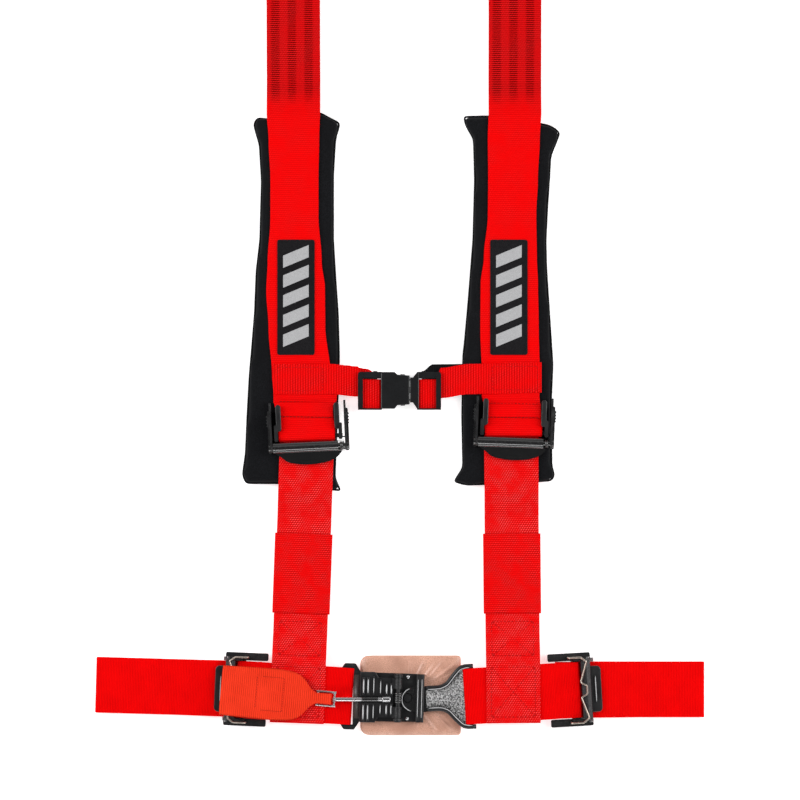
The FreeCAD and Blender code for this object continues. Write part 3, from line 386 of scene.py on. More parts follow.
def add_object(name, verts, faces, material, uvs=None, smooth=True):
    """Mesh object from design-millimetre corners; uvs holds one pair per corner."""
    mesh = bpy.data.meshes.new(name)
    mesh.from_pydata([tuple(at(*v)) for v in verts], [], faces)
    if uvs:
        layer = mesh.uv_layers.new(name="UVMap")
        for loop in mesh.loops:
            layer.data[loop.index].uv = uvs[loop.vertex_index]
    shade(mesh, smooth)
    mesh.materials.append(materials[material])
    mesh.update()
    obj = bpy.data.objects.new(name, mesh)
    scene.collection.objects.link(obj)
    return obj


def shade(mesh, smooth):
    mesh.polygons.foreach_set("use_smooth", [smooth] * len(mesh.polygons))


def apply_modifiers(obj):
    bpy.context.view_layer.update()
    evaluated = obj.evaluated_get(bpy.context.evaluated_depsgraph_get())
    mesh = bpy.data.meshes.new_from_object(evaluated)
    obj.modifiers.clear()
    obj.data = mesh


def finish_piece(obj, slot, *replaced, body="root"):
    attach(obj, body)
    if replaced:
        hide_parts(*replaced)
    return obj


def ring_faces(rings, count, base=0, closed=False):
    """Quads between successive rings of count corners, the last joined to the first when closed."""
    faces = []
    for i in range(rings if closed else rings - 1):
        a, b = base + i * count, base + (i + 1) % rings * count
        faces += [(a + j, a + (j + 1) % count, b + (j + 1) % count, b + j) for j in range(count)]
    return faces


def cap_faces(rings, count, base=0):
    """Faces that close the first and the last ring."""
    end = base + rings * count
    return [tuple(range(base + count - 1, base - 1, -1)), tuple(range(end - count, end))]


def closed_object(name, verts, rings, count, material, uvs=None, closed=False):
    """Object skinned over rings of corners, with end faces unless the rings close on themselves."""
    faces = ring_faces(rings, count, closed=closed) + ([] if closed else cap_faces(rings, count))
    return fix_normals(add_object(name, verts, faces, material, uvs))


def neighbours(points, i, closed=False):
    if closed:
        return points[i - 1], points[(i + 1) % len(points)]
    return points[max(0, i - 1)], points[min(len(points) - 1, i + 1)]


def rounded_route(route, step):
    """Side route of (x, z, bend radius) as closely spaced points."""
    points = [Vector((x, z)) for x, z, _ in route]
    path = [points[0]]
    for before, here, after, (_, _, radius) in zip(points, points[1:], points[2:], route[1:]):
        inward = (before - here).normalized()
        outward = (after - here).normalized()
        turn = pi - inward.angle(outward)
        reach = radius * math.tan(turn / 2)
        centre = here + (inward + outward).normalized() * (radius / cos(turn / 2))
        first = here + inward * reach - centre
        sweep = first.angle_signed(here + outward * reach - centre)
        pieces = max(3, int(abs(sweep) * radius / 0.5), int(abs(sweep) / 0.2))
        for i in range(pieces + 1):
            angle = -sweep * i / pieces
            path.append(centre + Vector((first.x * cos(angle) - first.y * sin(angle),
                                         first.x * sin(angle) + first.y * cos(angle))))
    path.append(points[-1])
    dense = [path[0]]
    for point in path[1:]:
        gap = (point - dense[-1]).length
        if gap < 1e-4:
            continue
        pieces = max(1, math.ceil(gap / step))
        start = dense[-1]
        dense.extend(start.lerp(point, i / pieces) for i in range(1, pieces + 1))
    return dense


def web_section(width, thickness, columns=26):
    """Closed outline of webbing cut across: rounded selvages, slightly thicker beside the edge."""
    half, high = width / 2, thickness / 2
    span = half - high
    top = []
    for i in range(columns + 1):
        y = -span + 2 * span * i / columns
        from_edge = (span - abs(y)) / 2.2
        bead = 0.10 * exp(-(from_edge - 0.7) ** 2 * 3) - 0.08 * exp(-(from_edge - 1.9) ** 2 * 3)
        top.append((y, high * (0.94 + bead)))
    edge = [(span + high * sin(a), high * cos(a)) for a in (0.6, 1.1, 1.57, 2.04, 2.54)]
    bottom = [(-y, -n) for y, n in top]
    return top + edge + bottom + [(-y, -n) for y, n in edge]


def ribbon(name, route, spot, material, width=WEB_WIDTH, thickness=WEB_THICK, lateral=None, widen=None,
           step=2.0, place=turned):
    """Length of webbing along a side route, laid from spot = (x, y, turn); lateral bends it in plan."""
    path = rounded_route(route, step)
    section = web_section(width, thickness)
    verts, uvs = [], []
    run = 0.0
    for i, point in enumerate(path):
        before, after = neighbours(path, i)
        along = (after - before).normalized()
        if i:
            run += (point - path[i - 1]).length
        normal = Vector((-along.y, along.x))
        shift = lateral(point.x) if lateral else 0.0
        scale = widen(point.x) if widen else 1.0
        for y, n in section:
            verts.append(place(spot, point.x + normal.x * n, y * scale + shift, point.y + normal.y * n))
            uvs.append((y * scale, run))
    return closed_object(name, verts, len(path), len(section), material, uvs)


def fix_normals(obj, weld=0.0):
    """Faces turned outward, after corners closer than weld metres are joined."""
    mesh = bmesh.new()
    mesh.from_mesh(obj.data)
    if weld:
        bmesh.ops.remove_doubles(mesh, verts=mesh.verts, dist=weld)
    bmesh.ops.recalc_face_normals(mesh, faces=mesh.faces)
    mesh.to_mesh(obj.data)
    mesh.free()
    return obj


def smooth_step(value, low, high):
    t = min(1.0, max(0.0, (value - low) / (high - low)))
    return t * t * (3 - 2 * t)


# ---- stitches ----

STITCH_SIDES = 6
STITCH_PROFILE = ((-1.0, 0.15), (-0.72, 0.75), (0.0, 1.0), (0.72, 0.75), (1.0, 0.15))


def stitch_mesh(name, lines, height, material, length=2.7, gap=1.0, radius=0.38):
    """Thread stitches along lines in plan (pairs of design points), lying on the surface height(x, y)."""
    verts, faces = [], []
    for start, end in lines:
        start, end = Vector(start[:2]), Vector(end[:2])
        count = max(1, round((end - start).length / (length + gap)))
        margin = gap / 2 / max(1e-6, (end - start).length / count)
        for i in range(count):
            first = start.lerp(end, (i + margin) / count)
            last = start.lerp(end, (i + 1 - margin) / count)
            first = Vector((first.x, first.y, height(first.x, first.y)))
            last = Vector((last.x, last.y, height(last.x, last.y)))
            one_stitch(verts, faces, first, last, radius)
    return add_object(name, verts, faces, material)


def one_stitch(verts, faces, first, last, radius):
    centre = (first + last) / 2
    half = (last - first).length / 2
    along = (last - first).normalized()
    side = along.cross(Vector((0, 0, 1))).normalized()
    up = side.cross(along)
    base = len(verts)
    for t, r in STITCH_PROFILE:
        lift = radius * (0.1 - 0.45 * t * t)
        for k in range(STITCH_SIDES):
            angle = 2 * pi * k / STITCH_SIDES
            around = side * cos(angle) + up * sin(angle)
            verts.append(centre + along * half * t + around * radius * r + up * lift)
    shape = (len(STITCH_PROFILE), STITCH_SIDES, base)
    faces += ring_faces(*shape) + cap_faces(*shape)


def sew(name, lines, surface, thread, slot, *sizes):
    finish_piece(stitch_mesh(name, lines, surface, thread, *sizes), slot)


def box_lines(spot, x0, x1, y0, y1, crossed=True):
    """Sewn rectangle in a unit's own frame, with its diagonals when crossed."""
    corners = [turned(spot, x, y) for x, y in ((x0, y0), (x1, y0), (x1, y1), (x0, y1))]
    lines = [(corners[i], corners[(i + 1) % 4]) for i in range(4)]
    if crossed:
        lines += [(corners[0], corners[2]), (corners[1], corners[3])]
    return lines


def zigzag_lines(spot, x, y0, y1, swing=1.4, pitch=1.3):
    """Bar of zigzag stitches across the webbing."""
    count = max(2, round(abs(y1 - y0) / pitch))
    points = [turned(spot, x + (swing if i % 2 else -swing) / 2, y0 + (y1 - y0) * i / count)
              for i in range(count + 1)]
    return list(zip(points, points[1:]))


def flat(height):
    return lambda x, y: height


def profile_height(spot, route, above):
    """Top surface of webbing whose centre follows the straight legs of a side route."""
    angle = radians(spot[2])

    def height(x, y):
        run = (x - spot[0]) * cos(angle) + (y - spot[1]) * sin(angle)
        return between(route, run, 1, False) + above

    return height


# ---- webbing pieces ----


def strap_spot(side):
    return (SHOULDER_X[side], 0.0, 90 + SHOULDER_TURN[side])


def lower_spot(side):
    return (LOWER_X[side], 0.0, 90 + LOWER_TURN[side])


def chest_spot(side):
    """Frame at the buckle with +x towards the sewn end of one chest strap, and how far off that end lies."""
    sewn_end = (118.6 + BUCKLE_POINT[0], 132.6 - BUCKLE_POINT[0])[side]
    return (*BUCKLE_POINT, (180, 0)[side]), sewn_end


def strap_loop_y(side):
    """Height where the shoulder strap turns back round the adjuster's fixed bar."""
    return SHOULDER_ADJUSTER[side][1] - FIXED_BAR_FRONT + 1.2 - LOOP_RADIUS - 0.6


def shoulder_strap(side, tag):
    """Sewn loop at the adjuster, over the pad, through the slide and round the anchor's bar."""
    loop_y = strap_loop_y(side)
    low, high, radius = SHOULDER_FRAME_Z + BAR_LOW, SHOULDER_FRAME_Z + BAR_HIGH, LOOP_RADIUS
    main, tail, hump = 2.8, ANCHOR_LOW, 6.1
    turn_y = SHOULDER_ANCHOR_Y + 5.0 - 1.3 + ANCHOR_RADIUS
    lower_part = [(loop_y + 24, low, 0), (loop_y, low, radius), (loop_y, high, radius), (loop_y + 6, high, 8),
                  (loop_y + 17, high - 2.4, 8), (loop_y + 25, high - 2.4, 8), (loop_y + 37, OVER_PAD, 6),
                  (PAD_TOP_Y + 4, OVER_PAD, 14)]
    upper_part = [(PAD_TOP_Y + 36, main, 14), (SLIDE_Y - 13.4, main, 3), (SLIDE_Y - 4, main + hump, 3),
                  (SLIDE_Y + 4, main + hump, 3), (SLIDE_Y + 13.4, main, 3), (SHOULDER_ANCHOR_Y - 30, main, 8),
                  (SHOULDER_ANCHOR_Y - 8, ANCHOR_HIGH, 8), (turn_y, ANCHOR_HIGH, ANCHOR_RADIUS),
                  (turn_y, tail, ANCHOR_RADIUS),
                  (SLIDE_Y + 12.2, tail, 3), (SLIDE_Y + 2.8, tail + hump, 3), (SLIDE_Y - 2.8, tail + hump, 3),
                  (SLIDE_Y - 12.2, tail, 3), (SLIDE_Y - 45, tail, 0)]
    spot = strap_spot(side)

    def lateral(run):
        place = turned(spot, run, 0)
        aside = place.x - between(STRAP_SHAPE[side], place.y, 1)
        return aside / cos(radians(SHOULDER_TURN[side]))

    def widen(run):
        return between(STRAP_SHAPE[side], turned(spot, run, 0).y, 2)

    obj = ribbon("webbing_shoulder_" + tag, lower_part + upper_part, spot, "webbing_shoulder",
                 lateral=lateral, widen=widen)
    return finish_piece(obj, "webbing_red", "shoulder_strap_" + tag)


def between(table, value, column, smooth=True):
    """Reading between the rows of a table sorted by its first column, eased or straight."""
    if value <= table[0][0]:
        return table[0][column]
    for low, high in zip(table, table[1:]):
        if value <= high[0]:
            share = smooth_step(value, low[0], high[0]) if smooth else (value - low[0]) / (high[0] - low[0])
            return low[column] + (high[column] - low[column]) * share
    return table[-1][column]


# (height y, middle x, width share): the straps curve and narrow as they bend over the pads
STRAP_SHAPE = (
    ((236, -87.2, 1.04), (250, -87.4, 1.05), (264, -89, 1.02), (271.5, -90.2, 1.06), (275.5, -88.9, 1.17),
     (284, -88.9, 1.17), (300, -92.5, 1.08), (345, -96.6, 1.05), (380, -97.8, 1.085), (406, -98.7, 1),
     (448, -98.9, 0.89), (484, -98.9, 0.89), (520, -99.4, 0.935), (549, -99.9, 0.99), (640, -100.2, 0.99),
     (700, -101.2, 1)),
    ((236, 106, 1.05), (250, 106.2, 1.06), (262, 105.2, 1.04), (271, 104.9, 1.04), (280, 103.6, 1.065),
     (292, 104, 1.07), (345, 102.6, 1.08), (385, 102.4, 1.06), (410, 103.4, 0.98), (450, 105, 0.895),
     (484, 105.9, 0.92), (520, 106.6, 0.96), (549, 107.8, 0.975), (640, 108, 0.975), (700, 107.9, 1)),
)


def lower_strap(side, tag):
    hub_y = SHOULDER_ADJUSTER[side][1] - HUB_X
    over_bar = SHOULDER_FRAME_Z + 2.8
    lap_top = LAP_FRAME_Z + 8.4
    route = [(-26.3, lap_top, 0), (33, lap_top, 10), (58, LOWER_Z, 10), (168, LOWER_Z, 12),
             (191, PAD_THICK + 1.2, 8), (hub_y - 5, over_bar, 6), (hub_y + 1, over_bar, 2),
             (hub_y + 5, SHOULDER_FRAME_Z + 0.8, 2), (hub_y + 28, SHOULDER_FRAME_Z + 0.8, 0)]
    obj = ribbon("webbing_lower_" + tag, route, lower_spot(side), "webbing_lower")
    return finish_piece(obj, "webbing_red", "lower_strap_" + tag)


def strap_sleeve(side, tag):
    """Flat sewn sleeve: a closed band of webbing round the strap, with open ends."""
    low, high = SLEEVE_Y
    rows = [low + (high - low) * i / 30 for i in range(31)]
    verts, uvs = [], []
    for wall, order in ((0.0, rows), (SLEEVE_WALL, rows[::-1])):
        half_high = SLEEVE_HALF[1] - wall
        ring = rounded_rect(SLEEVE_HALF[0] - wall, half_high, 0.9 * half_high, 3)
        for row in order:
            for y, z in ring:
                wave = 0.0 if wall or z <= 0 else 0.12 * sin(row * 0.9 + y * 0.05)
                verts.append(turned(lower_spot(side), row, y, LOWER_Z + z + wave))
                uvs.append((y, row))
    obj = closed_object("sleeve_" + tag, verts, 2 * len(rows), len(ring), "webbing_sleeve", uvs, True)
    return finish_piece(obj, "webbing_red", "strap_sleeve_" + tag)


def lap_belt(side, tag):
    spot = LAP_ADJUSTER[side][:2] + (LAP_BELT_TURN[side],)
    fold_x = LAP_END_X - abs(LAP_ADJUSTER[side][0]) - WEB_THICK / 2
    over_bar = LAP_FRAME_Z + 2.8
    turn_x = ANCHOR_BAR_X + 1.3 - ANCHOR_RADIUS
    inside = LAP_FRAME_Z + 0.8
    route = [(-17, inside, 0), (7.6, inside, 2), (11.8, over_bar, 2), (25, over_bar, 12), (62, 3.9, 14),
             (fold_x, 3.9, 1.5), (fold_x, ANCHOR_LOW, 1.5), (turn_x, ANCHOR_LOW, ANCHOR_RADIUS),
             (turn_x, ANCHOR_HIGH, ANCHOR_RADIUS), (36, ANCHOR_HIGH, 0)]
    obj = ribbon("webbing_lap_" + tag, route, spot, "webbing", widen=lambda x: 1.03)
    return finish_piece(obj, "webbing_red", "lap_belt_" + tag)


def junction_frame(side):
    """Spot and length of the webbing from a lap adjuster to the bar of the latch or the link."""
    bar = turned(LINK_FRAME, LINK_BAR_X, 0) if side else turned(LATCH_FRAME, LATCH_BAR_X, 0)
    start = Vector((*LAP_ADJUSTER[side][:2], 0))
    away = start - bar
    return (start.x, start.y, math.degrees(math.atan2(away.y, away.x))), away.length


def lap_junction(side, tag):
    spot, length = junction_frame(side)
    low, high, radius = LAP_FRAME_Z + BAR_LOW, LAP_FRAME_Z + BAR_HIGH, LOOP_RADIUS
    near = FIXED_BAR_FRONT - 1.2 + 0.6 + radius
    bottom, top = (NECK_LOW, LINK_TOP) if side else (LATCH_Z, LATCH_PLATE_TOP)
    far_low, far_high = bottom - 0.9, top + 0.9
    far_radius = (far_high - far_low) / 2
    far = -length - 1.75 + 1.2 - 0.6 - far_radius - (1.2, 1.8)[side]
    middle = -length / 2
    route = [(middle + 0.2, low, 0), (near, low, radius), (near, high, radius)]
    if side:
        route += [(-8.0, high + 0.5, 5), (-13.0, high - 1.9, 2), (-18.0, high, 5)]
    route += [(-length + 21, high, 10),
              (-length + 5, far_high, 8), (far, far_high, far_radius), (far, far_low, far_radius),
              (-length + 8, far_low, 8), (middle - 8.2, low, 8), (middle - 0.2, low, 0)]
    obj = ribbon("webbing_junction_" + tag, route, spot, "webbing", widen=lambda x: (1.05, 1.03)[side])
    return finish_piece(obj, "webbing_red", "lap_junction_" + tag)


# (distance from the buckle's middle, rise above it) of the chest straps and of their returning ends
CHEST_RISE = (
    ((33.9, -3.8), (39.1, 8.0), (66.0, 10.2)),
    ((33.9, -3.8), (39.1, 6.6), (66.0, 10.2), (80.0, 10.4), (132.0, 11.7)),
)
CHEST_TAIL_RISE = (
    ((21.0, 1.4), (31.0, 6.4), (50.0, 9.6), (64.0, 10.4)),
    ((21.0, 3.8), (31.5, 10.6), (64.0, 10.8)),
)


def chest_strap(side, tag):
    """Chest webbing: sewn part level, a step down under the buckle's end bar, a loop round its inner bar."""
    way = (-1, 1)[side]
    spot, sewn_end = chest_spot(side)
    upper, lower = BUCKLE_Z + 6.45, BUCKLE_Z + 2.45

    def rise(run):
        return way * between(CHEST_RISE[side], run, 1)

    def tail_rise(run):
        return way * between(CHEST_TAIL_RISE[side], run, 1)

    def widen(run):
        return 0.975 + 0.025 * smooth_step(run, CHEST_RISE[side][0][0], CHEST_RISE[side][1][0])

    route = [(sewn_end, SEWN_CHEST_Z, 0), (62, SEWN_CHEST_Z, 12), (41, upper, 8), (17.3, upper, 2.0),
             (17.3, lower, 2.0), (22.0, lower, 0)]
    obj = ribbon("webbing_chest_" + tag, route, spot, "chest", CHEST_WIDTH, CHEST_THICK, rise, widen, 0.8)
    finish_piece(obj, "webbing_red", "chest_strap_" + tag)

    # The right tail is near-black webbing, painted shadow on the strap's turned-back end
    route = [(22.0, lower - 0.1, 0), (34, lower - 0.1, 6), (63, SEWN_CHEST_Z - 1.25, 0)]
    tail = ribbon("webbing_chest_tail_" + tag, route, spot, ("chest", "chest_shadowed")[side], CHEST_WIDTH,
                  CHEST_THICK - 0.15, tail_rise, lambda run: 0.955, 0.8)
    finish_piece(tail, "webbing_red")


# ---- shoulder pads ----

# Corners of each pad in plan, in order round its edge
PAD_OUTLINE = (
    ((-138, 536), (-134, 542), (-125, 540.5), (-75, 547), (-67.5, 542.5), (-55.5, 536.5), (-60, 521),
     (-62, 487), (-62, 427), (-60.5, 402), (-59, 379), (-57.5, 358), (-56.5, 322), (-56.5, 311),
     (-60.5, 203), (-54.5, 190.5), (-115, 197.5), (-145, 197.5), (-148.5, 206), (-145.5, 226.5),
     (-144, 262), (-142, 299), (-140, 322), (-137, 358), (-135.5, 397), (-132, 427), (-130.5, 482),
     (-132.5, 516), (-137, 531)),
    ((59, 543), (82.5, 543.5), (132.5, 536.5), (142.5, 534), (151, 527.5), (146, 515), (142, 505.5),
     (141, 487), (139, 457), (137.5, 427), (138, 402), (140.5, 363), (144, 310), (142.5, 274.5), (143, 214),
     (146, 206), (143, 200), (133.5, 199.5), (78, 196.5), (61.5, 196), (49.5, 199.5), (58.5, 213),
     (57.5, 260), (58.5, 318), (60, 331), (63.5, 370), (65, 389), (68, 427), (69.5, 483), (68.5, 521),
     (61, 534)),
)
PAD_INSET = 0.5
PAD_VOXEL = 3.5
PAD_CAP = 3.2
PAD_CREEP = 0.6
PAD_CLEAR = 0.35
CLOTH = {"quality": 5, "mass": 0.3, "tension_stiffness": 12, "compression_stiffness": 12,
         "bending_stiffness": 2.0, "use_pressure": True, "uniform_pressure_force": 4.0}
CLOTH_FRAMES = 20
PIPING_Z = 6.1
PIPING_RADIUS = 0.95
TUBE_TAPER = (0.35, 0.75, 0.93)


def resampled(points, spacing, passes, closed=True):
    """Outline or open path with even spacing, its corners softened by repeated averaging."""
    points = [Vector(p) for p in points]
    dense = []
    for here, after in zip(points, points[1:] + points[:1] if closed else points[1:]):
        pieces = max(1, round((after - here).length / spacing))
        dense.extend(here.lerp(after, i / pieces) for i in range(pieces))
    if not closed:
        dense.append(points[-1])
    for _ in range(passes):
        ends = dense[0], dense[-1]
        dense = [(before + 2 * here + after) / 4
                 for before, here, after in zip(dense[-1:] + dense[:-1], dense, dense[1:] + dense[:1])]
        if not closed:
            dense[0], dense[-1] = ends
    return dense


def shifted(points, distance, closed=False):
    """Path moved sideways, to the right of its own direction."""
    moved = []
    for i, here in enumerate(points):
        before, after = neighbours(points, i, closed)
        along = (after - before).normalized()
        moved.append(here + Vector((along.y, -along.x)) * distance)
    return moved


def inset_outline(points, amount):
    area = sum(a.x * b.y - b.x * a.y for a, b in zip(points, points[1:] + points[:1]))
    return shifted(points, -math.copysign(amount, area), True)


def slab(name, outline, low, high, material):
    verts = [(p.x, p.y, z) for z in (low, high) for p in outline]
    return closed_object(name, verts, 2, len(outline), material)


def remesh(obj, size_mm):
    modifier = obj.modifiers.new("remesh", "REMESH")
    modifier.mode = "VOXEL"
    modifier.voxel_size = size_mm * MM
    apply_modifiers(obj)


def swell(obj, rise_mm, creep_mm):
    """Runs Cloth with inner pressure on the slab; no point rises or creeps sideways further than its cap."""
    start = [v.co.copy() for v in obj.data.vertices]
    cloth = obj.modifiers.new("cloth", "CLOTH")
    for key, value in CLOTH.items():
        setattr(cloth.settings, key, value)
    cloth.settings.effector_weights.gravity = 0
    cloth.point_cache.frame_start = 1
    cloth.point_cache.frame_end = CLOTH_FRAMES
    for frame_number in range(1, CLOTH_FRAMES + 1):
        scene.frame_set(frame_number)
    apply_modifiers(obj)
    for vertex, was in zip(obj.data.vertices, start):
        move = (vertex.co - was) / MM
        creep = Vector((move.x, move.y, 0))
        if creep.length > creep_mm:
            creep *= creep_mm / creep.length
        rise = min(rise_mm, max(-rise_mm, move.z))
        vertex.co = was + (creep + Vector((0, 0, rise))) * MM
    scene.frame_set(1)


def subdivide(obj, levels=1):
    modifier = obj.modifiers.new("subdivision", "SUBSURF")
    modifier.levels = modifier.render_levels = levels
    apply_modifiers(obj)


def press_pad(obj, side):
    """The floor keeps the pad's underside flat, and the strap and adjuster press its top."""
    angle = radians(SHOULDER_TURN[side])
    for vertex in obj.data.vertices:
        place = (vertex.co - ORIGIN) / MM
        across = abs((place.x - SHOULDER_X[side]) * cos(angle) + place.y * sin(angle))
        beside = smooth_step(across, WEB_WIDTH / 2 + 1.5, WEB_WIDTH / 2 + 9)
        if place.y < SHOULDER_ADJUSTER[side][1] + 52:
            beside = 0.0
        place.z = max(min(place.z, PAD_THICK - 0.2 + 0.9 * beside), PAD_CLEAR)
        vertex.co = at(*place)


def shoulder_pad(side, tag):
    edge = resampled(PAD_OUTLINE[side], 2.0, 4)
    body = slab("pad_" + tag, inset_outline(edge, PAD_INSET), 1.4, PAD_THICK - 1.2, "cover")
    remesh(body, PAD_VOXEL)
    swell(body, PAD_CAP, PAD_CREEP)
    press_pad(body, side)
    subdivide(body)
    shade(body.data, True)
    press_pad(body, side)
    finish_piece(body, "pad_fabric", "pad_cover_" + tag, "pad_core_" + tag)
    path = [Vector((p.x, p.y, PIPING_Z)) for p in inset_outline(edge, 0.9)]
    piping = tube("pad_piping_" + tag, path, PIPING_RADIUS, PIPING_RADIUS, "cover", closed=True)
    finish_piece(piping, "pad_fabric")


def tube(name, points, across, up, material, sides=8, closed=False):
    """Cord or rounded ridge along design points, its ends tapered and closed unless it runs round."""
    verts = []
    for i, here in enumerate(points):
        before, after = neighbours(points, i, closed)
        along = (after - before).normalized()
        side = Vector((-along.y, along.x, 0)).normalized()
        end = min(i, len(points) - 1 - i)
        taper = 1.0 if closed or end >= len(TUBE_TAPER) else TUBE_TAPER[end]
        for k in range(sides):
            angle = 2 * pi * k / sides
            verts.append(here + side * across * taper * cos(angle)
                         + Vector((0, 0, up * taper * sin(angle))))
    return closed_object(name, verts, len(points), sides, material, closed=closed)


# ---- leather backing pad ----


def leather_pad():
    """Thin padded leather, its edge pressed together and its face wrinkled where the link pulls on it."""
    x0, x1, y0, y1 = BACKING_CORNER.x, 57.3, BACKING_CORNER.y, 36.7
    corners = []
    for x, y, start, radius in ((x1, y1, 0, 3.0), (x0, y1, 90, 8.0), (x0, y0, 180, 8.0), (x1, y0, 270, 3.0)):
        corners += arc(x - math.copysign(radius, x), y - math.copysign(radius, y), radius, start, 6)
    edge = resampled(corners, 2.0, 1)
    centre = Vector((10.0, -1.0))
    rings = 14
    verts = []
    for face_side, order in ((1, range(rings, -1, -1)), (-1, range(rings + 1))):
        for ring in order:
            share = ring / rings
            for point in edge:
                place = point.lerp(centre, share)
                from_edge = (point - centre).length * share
                crown = 1 - exp(-from_edge / 3.2)
                height = 3.2 + face_side * (0.75 + 2.0 * crown)
                if face_side > 0:
                    height += wrinkle(place.x, place.y) * crown
                verts.append((place.x, place.y, max(0.35, height)))
    faces = ring_faces(2 * (rings + 1), len(edge))
    obj = add_object("leather_pad", verts, faces, "leather")
    fix_normals(obj, 0.00005)
    subdivide(obj)
    shade(obj.data, True)
    return finish_piece(obj, "leather_tan", "backing_pad")


# (x, y, direction, width, height) of the creases in the leather
CREASES = ((19, 23, 62, 3.5, 0.75), (27, 21, 52, 3.2, 0.85), (35, 25, 48, 3.5, 0.8), (43, 22, 38, 3.5, 0.7),
           (10, 27, 84, 6, 0.4), (30, -30, -50, 3.5, 0.7), (42, -27, -45, 3.2, 0.8), (16, -33, -75, 5, 0.4),
           (-20, 27, 85, 9, 0.25), (-24, -30, -85, 9, 0.25))


def wrinkle(x, y):
    """Shallow creases that fan out from under the link, mostly on the upper right."""
    total = 0.0
    for cx, cy, turn, size, height in CREASES:
        angle = radians(turn)
        along = (x - cx) * cos(angle) + (y - cy) * sin(angle)
        across = -(x - cx) * sin(angle) + (y - cy) * cos(angle)
        fade = exp(-(along / 11) ** 2 - (across / size) ** 2)
        total += height * fade * cos(across * 1.1)
    return total * 1.3


# ---- woven labels ----


def plate_piece(name, spot, outline, low, high, material, edge_round=0.0):
    """Flat piece in a unit's own frame, cut to an outline."""
    outline = [Vector(p) for p in outline]
    levels = [(low, 0.0), (high - edge_round, 0.0)] + ([(high, edge_round)] if edge_round else [])
    centre = sum(outline, Vector((0, 0))) / len(outline)
    verts = []
    for z, inset in levels:
        for p in outline:
            moved = p + (centre - p).normalized() * inset
            verts.append(turned(spot, moved.x, moved.y, z))
    return closed_object(name, verts, len(levels), len(outline), material)


def arc(cx, cy, radius, start, pieces):
    """Quarter circle from the start angle, as points in plan."""
    angles = [radians(start + 90 * k / pieces) for k in range(pieces + 1)]
    return [(cx + radius * cos(a), cy + radius * sin(a)) for a in angles]


def rounded_rect(half_x, half_y, radius, pieces=6):
    points = []
    for sx, sy, start in ((1, 1, 0), (-1, 1, 90), (-1, -1, 180), (1, -1, 270)):
        points += arc(sx * (half_x - radius), sy * (half_y - radius), radius, start, pieces)
    return points


LABEL_LOW = PAD_THICK + 1.75
LABEL_HIGH = LABEL_LOW + 0.6
LABEL_BARS = 5


def label(side, tag):
    spot = (*LABEL_POINT[side], 0.0)
    half_x, half_y = LABEL_SIZE[0] / 2, LABEL_SIZE[1] / 2
    base = plate_piece("label_" + tag, spot, rounded_rect(half_x, half_y, 2.2), LABEL_LOW, LABEL_HIGH,
                       "label", 0.2)
    finish_piece(base, "label_fabric", "label_" + tag)
    verts, faces = [], []
    for index in range(LABEL_BARS):
        y = -39.5 + 18.5 * index
        bar = ((-12.0, y - 7), (12.0, y + 3), (12.0, y + 14.5), (-12.0, y + 4.5))
        faces += ring_faces(2, 4, len(verts)) + cap_faces(2, 4, len(verts))
        verts += [turned(spot, px, py, z) for z in (LABEL_HIGH - 0.05, LABEL_HIGH + 0.18) for px, py in bar]
    motif = fix_normals(add_object("label_bars_" + tag, verts, faces, "silver", smooth=False))
    finish_piece(motif, "label_fabric")
    lines = box_lines(spot, -half_x + 1.5, half_x - 1.5, -half_y + 1.5, half_y - 1.5, False)
    sew("label_seam_" + tag, lines, flat(LABEL_HIGH), "thread_black", "label_fabric", 2.2, 0.8, 0.26)


# ---- pull tab ----


def rod_point(x, y=0.0):
    """Point of the rod's own line in the latch frame."""
    return turned((0.0, ROD_Y, ROD_TURN), x, y)


def tilted(spot, x, y, z):
    """Point of the flat pull tab, tipped up about its pivot and swung to the rod's end."""
    dx, dz = x - TAB_PIVOT_X, z - ROD_Z
    along, up = cos(TAB_SLOPE), sin(TAB_SLOPE)
    pivot = rod_point(TAB_PIVOT_X)
    place = turned((pivot.x, pivot.y, TAB_TURN), dx * along + dz * up, y)
    return turned(spot, place.x, place.y, ROD_Z - dx * up + dz * along)


TAB_LAYER = 1.25
# (distance behind the pivot, half width): narrow neck, round shoulders, straight body
TAB_SHAPE = ((2.6, 4.9), (17, 5), (20, 6.6), (23, 9), (26, 13), (29, 16.6), (33, 20), (38, 22.3),
             (45, 23.4), (58, 24.2), (80, 23.8), (108, 23.2))


def tab_half(x):
    return between(TAB_SHAPE, TAB_PIVOT_X - x, 1, False)


def pull_tab():
    """Webbing folded double at its rear end, its front gathered into a neck at the ring."""
    low = ROD_Z + 0.6 + 0.65
    high = low + 1.3
    rear, neck = TAB_REAR_X + 1.3, TAB_PIVOT_X - 2.7
    route = [(neck, low, 0), (rear, low, 0.65), (rear, high, 0.65), (neck, high, 0)]
    tab = ribbon("pull_tab_webbing", route, LATCH_FRAME, "tab", 2.0, TAB_LAYER,
                 widen=tab_half, step=1.2, place=tilted)
    finish_piece(tab, "webbing_orange", "pull_tab", body="tab")
    lines = zigzag_lines((0, 0, 0), -123.5, -13.5, 15.5, 1.5, 1.6)
    lines += [((-118.5, 16), (-98.5, 16)), ((-118.5, -15.5), (-98.5, -15.5)), ((-98.5, 16), (-98.5, -15.5))]
    seam = stitch_mesh("pull_tab_seam", lines, flat(0.0), "thread_dark", 1.6, 0.5, 0.22)
    for vertex in seam.data.vertices:
        lying = (vertex.co - ORIGIN) / MM
        vertex.co = at(*tilted(LATCH_FRAME, lying.x, lying.y, high + TAB_LAYER / 2 + lying.z))
    finish_piece(seam, "webbing_orange", body="tab")


# ---- raised rim of the link ----


RIM_PATH = ((-41, 10), (-33, 9.8), (-26.5, 10.1), (-20.6, 12.8), (-14.5, 20.2), (-8.4, 26.6), (-3, 28.2),
            (4, 28.4))
